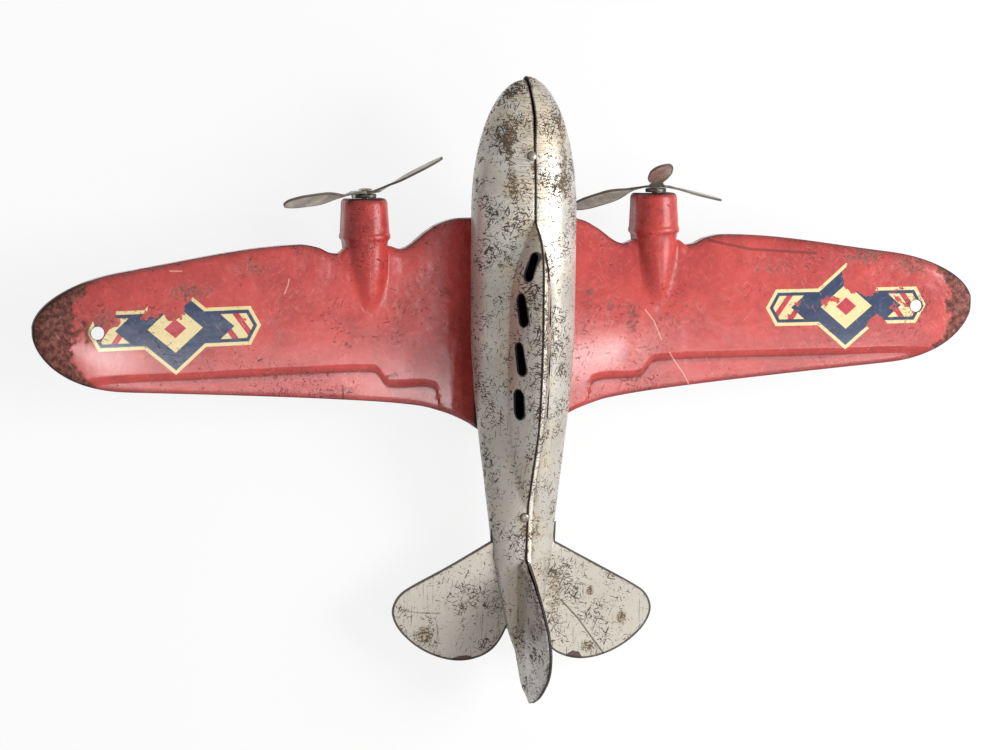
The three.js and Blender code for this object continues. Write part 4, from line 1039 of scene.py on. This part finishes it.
def fuselage_attributes(obj, side):
    x, y, z = points_of(obj).T
    s = fuselage_section(y, 0, side)
    seam = np.abs(x) - s["gap"]
    edge = np.where(z > s["centre"], seam, seam + 2)
    for at, height, slant, length, width in WINDOWS:
        lean = math.radians(-slant)
        along, up = y - at, (z - height) / math.cos(WINDOW_TILT)
        u = along * math.cos(lean) + up * math.sin(lean)
        v = -along * math.sin(lean) + up * math.cos(lean)
        reach = np.maximum(np.abs(u) - (length - width) / 2, 0)
        edge = np.minimum(edge, np.maximum(np.hypot(reach, v) - width / 2, 0))
    on_fin = s["is_fin"] * (z > s["crown"])
    rim = np.hypot(s["top"] - z, np.maximum(np.abs(x) - s["gap"] - SHEET, 0)) + (0.35 if side < 0 else 0.1)
    edge = np.where(on_fin > 0.5, np.minimum(np.maximum(rim, 0), y - TAIL_Y), edge)
    point_attribute(obj, "edge", np.clip(edge, 0, 60))

    # A face is inside where its corners lie under the outer skin, or in the wall of a window; the silver
    # finish paints these faces dark as painted shade
    deep = half_breadth(s, z) - np.abs(x) > 0.3
    corners = [deep[list(face.vertices)].mean() for face in obj.data.polygons]
    below = [(s["top"] - z)[list(face.vertices)].max() for face in obj.data.polygons]
    inside = (np.array(corners) > 0.3) & (np.array(below) > 1.0)
    attribute = obj.data.attributes.new("inside", "FLOAT", "FACE")
    attribute.data.foreach_set("value", inside.astype(np.float32))


for side, label in SIDES:
    half = fuselage_half(side)
    half.name = f"fuselage_{label}_skin"
    fuselage_attributes(half, side)
    finish_piece(half, f"fuselage_{label}", SILVER, TO_ROW @ SKEW)


# Tailplane
def outline_distance(points, outline):
    """Distance of each point from a closed outline, in the XY plane."""
    a = np.array(outline)
    leg = np.roll(a, -1, axis=0) - a
    from_a = points[:, None, :2] - a
    t = np.clip((from_a * leg).sum(-1) / (leg * leg).sum(-1), 0, 1)
    return np.linalg.norm(from_a - t[..., None] * leg, axis=-1).min(axis=1)


def tailplane_object():
    """The flat sheet, meshed finely enough to carry its distance from the cut edge."""
    outline = tailplane_outline()
    plate = prism("tailplane_sheet", outline, -SHEET / 2, SHEET / 2)
    with editing(plate) as bm:
        bmesh.ops.inset_region(bm, faces=[f for f in bm.faces if abs(f.normal.z) > 0.5], thickness=1.2)
        bmesh.ops.triangulate(bm, faces=[f for f in bm.faces if len(f.verts) > 4])
        for _ in range(4):
            flat = [e for e in bm.edges if all(abs(f.normal.z) > 0.5 for f in e.link_faces)]
            long = [e for e in flat if e.calc_length() > 4]
            bmesh.ops.subdivide_edges(bm, edges=long, cuts=1)
            bmesh.ops.triangulate(bm, faces=[f for f in bm.faces if len(f.verts) > 4])
    point_attribute(plate, "edge", outline_distance(points_of(plate), outline) - TAILPLANE_RIM)
    return turned_tailplane(plate)


tailplane = tailplane_object()
finish_piece(tailplane, "tailplane", SILVER, TO_ROW @ SKEW)


# Propellers
blade_half_width = curve((0, 3.2), (2.04, 3.2), (8.4, 1.7), (12.6, 3.19), (17.9, 4.2), (24.1, 4.07),
                         (28.07, 3.11), (29.84, 2.02), (30.5, 0.5))


def blade_parts(angle, root, bend, twist):
    """Vertices, faces and edge distances of one stamped, bent and twisted blade."""
    angle, root, bend, twist = (math.radians(v) for v in (angle, root, bend, twist))
    straight = np.linspace(SHAFT_HOLE + 0.1, BLADE_REACH - BLADE_END, 44)
    end = BLADE_REACH - BLADE_END * (1 - np.sin(np.linspace(0, np.pi / 2, 16))[1:])
    r = np.concatenate((straight, end))
    r, u = r[:, None], np.linspace(-1, 1, 15)[None, :]
    half = blade_half_width(r) * u
    turned = -twist * smooth((r - BEND_START) / TWIST_RUN)
    near = np.clip(r - BEND_START, 0, NECK_RADIUS - BEND_START)
    far = np.maximum(r - NECK_RADIUS, 0)
    lean = root * smooth((r - BEND_START + 1) / 2) + (bend - root) * smooth((r - NECK_RADIUS + 1) / 2)

    def face(offset):
        lift = half * np.sin(turned) + offset * np.cos(turned)
        side = half * np.cos(turned) - offset * np.sin(turned)
        reach = np.minimum(r, BEND_START) + near * np.cos(root) + far * np.cos(bend) - lift * np.sin(lean)
        forward = near * np.sin(root) + far * np.sin(bend) + lift * np.cos(lean)
        across = reach * np.cos(angle) - side * np.sin(angle)
        return stacked(across, forward, reach * np.sin(angle) + side * np.cos(angle))

    rim = np.minimum((1 - np.abs(u)) * blade_half_width(r), BLADE_REACH - r).ravel()
    return *sheet_mesh(face(SHEET / 2), face(-SHEET / 2)), np.tile(rim, 2)


def ring_parts(profile, axis, sides, edge):
    """A closed ring turned from a closed profile of (radius, place along the axis)."""
    vertices, faces = turned_mesh([*profile, profile[0]], axis, sides)
    return vertices, faces, np.repeat([edge(r, a) for r, a in [*profile, profile[0]]], sides)


def joined(name, parts):
    """One object from several (vertices, faces, edge distance) parts."""
    vertices, faces, edges, start = [], [], [], 0
    for points, quads, edge in parts:
        vertices.append(points)
        faces += [tuple(i + start for i in quad) for quad in quads]
        edges.append(edge)
        start += len(points)
    obj = new_object(name, np.concatenate(vertices), faces)
    point_attribute(obj, "edge", np.concatenate(edges))
    return clean(obj)


def propeller(label, place):
    # The hub plate is a hair thicker than the blades, so that no two faces lie in one plane
    half = SHEET / 2 + 0.03
    hub = [(SHAFT_HOLE, -half), (HUB_RADIUS, -half), (HUB_RADIUS, half), (SHAFT_HOLE, half)]
    parts = [ring_parts(hub, "y", 48, lambda r, a: r - SHAFT_HOLE)]
    parts += [blade_parts(*spec) for spec in BLADES[label]]
    blades = joined(f"propeller_{label}_blades", parts)
    turning = place @ shift((0, PROPELLER_Y, 0))
    finish_piece(blades, f"propeller_{label}", TIN, turning, f"propeller_{label}")


def rounded_corners(points, radius):
    """A closed profile with every corner rounded off."""
    out = []
    for i in range(len(points)):
        before, corner, after = (Vector(points[j % len(points)]) for j in (i - 1, i, i + 1))
        a = corner + (before - corner).normalized() * min(radius, (before - corner).length * 0.45)
        b = corner + (after - corner).normalized() * min(radius, (after - corner).length * 0.45)
        for t in np.linspace(0, 1, 5):
            out.append(tuple(a * (1 - t) ** 2 + corner * (2 * t * (1 - t)) + b * t * t))
    return out


def washer(label, place):
    back = NACELLE_FRONT + CLEARANCE
    front = back + WASHER_THICKNESS
    square = [(SHAFT_HOLE, back), (WASHER_RADIUS, back), (WASHER_RADIUS, front), (SHAFT_HOLE, front)]
    parts = [ring_parts(rounded_corners(square, 0.3), "y", 48, lambda r, a: WASHER_RADIUS - r)]
    ring = joined(f"washer_{label}_ring", parts)
    finish_piece(ring, f"propeller_washer_{label}", DARK, place)


def dome(radius, base, height):
    """Profile of a rivet head from its rim to its crown."""
    turn = np.linspace(0, np.pi / 2, 9)
    rim = [(radius * math.cos(t) ** 0.8, base + height * (0.22 + 0.78 * math.sin(t))) for t in turn[:-1]]
    return rim + [(0, base + height)]


def propeller_rivet(label, place):
    front = PROPELLER_Y + SHEET / 2 + CLEARANCE
    back = NACELLE_FRONT - SHEET - CLEARANCE
    profile = [(0, back - 0.8), (2.3, back - 0.8), (2.6, back - 0.5), (2.6, back), (1.4, back), (1.4, front)]
    profile += [(2.3, front)] + dome(2.3, front, 0.6)
    rivet = lathe(f"propeller_rivet_{label}_turned", profile, "y", 48)
    finish_piece(rivet, f"propeller_rivet_{label}", BRIGHT, place)


for side, label in SIDES:
    nacelle = TO_ROW @ shift((side * NACELLE_X, 0, NACELLE_Z))
    propeller(label, nacelle)
    washer(label, nacelle)
    propeller_rivet(label, nacelle)


# Seam rivets, each square to the slope of the seam
def seam_top(y):
    return float(fuselage_section(np.array([float(y)]), 0)["top"][0])


def seam_rivet(label, y):
    rise = (seam_top(y + 1) - seam_top(y - 1)) / 2
    lift = max(seam_top(y + e) - seam_top(y) - rise * e for e in (-RIVET_HEAD, 0, RIVET_HEAD))
    place = TO_ROW @ SKEW @ shift((RIVET_X, y, seam_top(y) + lift)) @ Matrix.Rotation(math.atan(rise), 4, "X")
    back = place.inverted()
    deep = min((back @ v.co).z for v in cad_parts[f"seam_rivet_{label}"].data.vertices)
    profile = [(0, deep), (1.1, deep), (1.27, deep + 0.2), (1.27, deep + 0.6), (RIVET_SHANK, deep + 0.6)]
    profile += [(RIVET_SHANK, CLEARANCE), (RIVET_HEAD, CLEARANCE)] + dome(RIVET_HEAD, CLEARANCE, 0.8)
    rivet = lathe(f"seam_rivet_{label}_turned", profile, "z", 40)
    finish_piece(rivet, f"seam_rivet_{label}", BRIGHT, place)


for label, y in SEAM_RIVETS.items():
    seam_rivet(label, y)


# Undercarriage: wheels, axle and pressed caps
def wheel(label, side):
    h = WHEEL_WIDTH / 2
    face = [(AXLE_HOLE, h), (4.2, h), (4.8, h - 1), (7.8, h - 1), (8.8, h - 0.4), (10.1, h - 1.0),
            (WHEEL_RADIUS, h - 2.4)]
    half = rounded(face, 2, sharp=(0,))
    profile = half + [(r, -a) for r, a in half[::-1]]
    parts = [ring_parts(profile, "x", 96, lambda r, a: math.hypot(r - 9.4, abs(a) - h + 0.6))]
    turned = joined(f"wheel_{label}_turned", parts)
    place = TO_ROW @ shift(AXLE) @ shift((side * WHEEL_X, 0, 0))
    finish_piece(turned, f"wheel_{label}", WOOD, place, f"wheel_{label}")


def axle():
    low = [(0, -35.5), (0.9, -35.5), (AXLE_RADIUS, -35.2)]
    profile = low + [(r, -a) for r, a in low[::-1]]
    rod = lathe("axle_wire", profile, "x", 40)
    finish_piece(rod, "axle", WIRE, TO_ROW @ shift(AXLE))


def axle_cap(label, side):
    middle = WHEEL_X + WHEEL_WIDTH / 2 + CLEARANCE + CAP_THICKNESS / 2
    h = CAP_THICKNESS / 2
    profile = [(AXLE_HOLE, -h), (CAP_RADIUS, -h), (CAP_RADIUS, -h + 0.5), (CAP_RADIUS - 0.7, 0.35),
               (AXLE_HOLE + 0.4, h), (AXLE_HOLE, h)]
    parts = [ring_parts(rounded_corners(profile, 0.25), "x", 48, lambda r, a: CAP_RADIUS - r)]
    cap = joined(f"axle_cap_{label}_pressed", parts)
    turn = Matrix.Rotation(0 if side > 0 else math.pi, 4, "Z")
    place = TO_ROW @ shift(AXLE) @ shift((side * middle, 0, 0)) @ turn
    finish_piece(cap, f"axle_cap_{label}", TIN, place)


axle()
for side, label in SIDES:
    wheel(label, side)
    axle_cap(label, side)

# CAD pieces that keep their shape get softened edges and their own finish
for name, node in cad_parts.items():
    if node.hide_render:
        continue
    node.data.materials.clear()
    node.data.materials.append(TIN if name.startswith("seam_strap") else DARK)
    bevel = node.modifiers.new("softened", "BEVEL")
    bevel.width = 0.12 * MM
    bevel.segments = 2
    bevel.limit_method = "ANGLE"
    bevel.angle_limit = math.radians(50)


# Stage: pale floor, soft light and the photograph's camera
def seen_ray(nodes):
    """1 for rays that show the surroundings: straight to the camera, mirrored, or through glass."""
    path = nodes.node("LightPath").socket.node.outputs
    kinds = ("Is Camera Ray", "Is Glossy Ray", "Is Transmission Ray")
    return nodes.most(*[Value(nodes, path[kind]) for kind in kinds])


def floor(white_share):
    """A pale floor that is seen almost white and keeps a soft shadow."""
    plane = new_object("floor", [(-6, -6, 0), (6, -6, 0), (6, 6, 0), (-6, 6, 0)], [(0, 1, 2, 3)])
    material = bpy.data.materials.new("pale_floor")
    s = Nodes(material)
    paint = s.tree.nodes["Principled BSDF"]
    s.plug(paint.inputs["Base Color"], (0.9, 0.9, 0.9, 1))
    s.plug(paint.inputs["Roughness"], 0.95)
    shaders = {1: Value(s, paint.outputs[0]), 2: s.node("Emission")}
    blend = s.node("MixShader", {0: seen_ray(s) * white_share, **shaders})
    s.plug(s.tree.nodes["Material Output"].inputs["Surface"], blend)
    plane.data.materials.append(material)


def studio(ambient):
    """Even white surroundings: plain ambient light, white where they are seen or mirrored."""
    world = bpy.data.worlds.new("studio")
    bpy.context.scene.world = world
    s = Nodes(world)
    sky = s.tree.nodes["Background"].inputs
    s.plug(sky["Color"], (1, 1, 1, 1))
    strength = {"Value": seen_ray(s), "To Min": ambient, "To Max": 1.0}
    s.plug(sky["Strength"], s.node("MapRange", strength, "Result"))


def area_light(name, at, size, power):
    data = bpy.data.lights.new(name, "AREA")
    data.shape = "ELLIPSE"
    data.size, data.size_y = size
    data.energy = power
    light = add_object(name, data)
    light.location = at
    light.rotation_euler = (Vector((0, 0.02, 0.02)) - Vector(at)).to_track_quat("-Z", "Y").to_euler()


def camera():
    right = Vector((0.9657, 0.0088, 0.2595))
    up = Vector((0.0202, 0.9938, -0.1089))
    look = Vector((0.2588, -0.1104, -0.9596))
    offset = (3.652, 18.865, 823.2)
    at = -(right * offset[0] + up * offset[1] + look * offset[2])
    turn = Matrix((right, up, -look)).transposed().to_4x4()
    place = TO_ROW @ SKEW @ shift(at)
    data = bpy.data.cameras.new("camera")
    data.sensor_width = 36
    data.lens = 86.4
    data.clip_end = 20
    obj = add_object("camera", data)
    rotation = (Matrix.Rotation(STAND, 4, "X") @ SKEW @ turn).to_quaternion()
    obj.matrix_world = shift(place.translation) @ rotation.to_matrix().to_4x4()
    bpy.context.scene.camera = obj


floor(0.85)
camera()
area_light("key", (0.48, -0.02, 0.5), (0.42, 0.42), 4.45)
area_light("window", (0.16, -0.31, 0.66), (0.30, 0.08), 0.25)
area_light("lamp", (0.086, -0.253, 0.67), (0.04, 0.04), 0.23)
area_light("pane", (0.25, -0.272, 0.597), (0.04, 0.03), 0.1)
studio(0.36)
bpy.context.scene.view_settings.view_transform = "Standard"
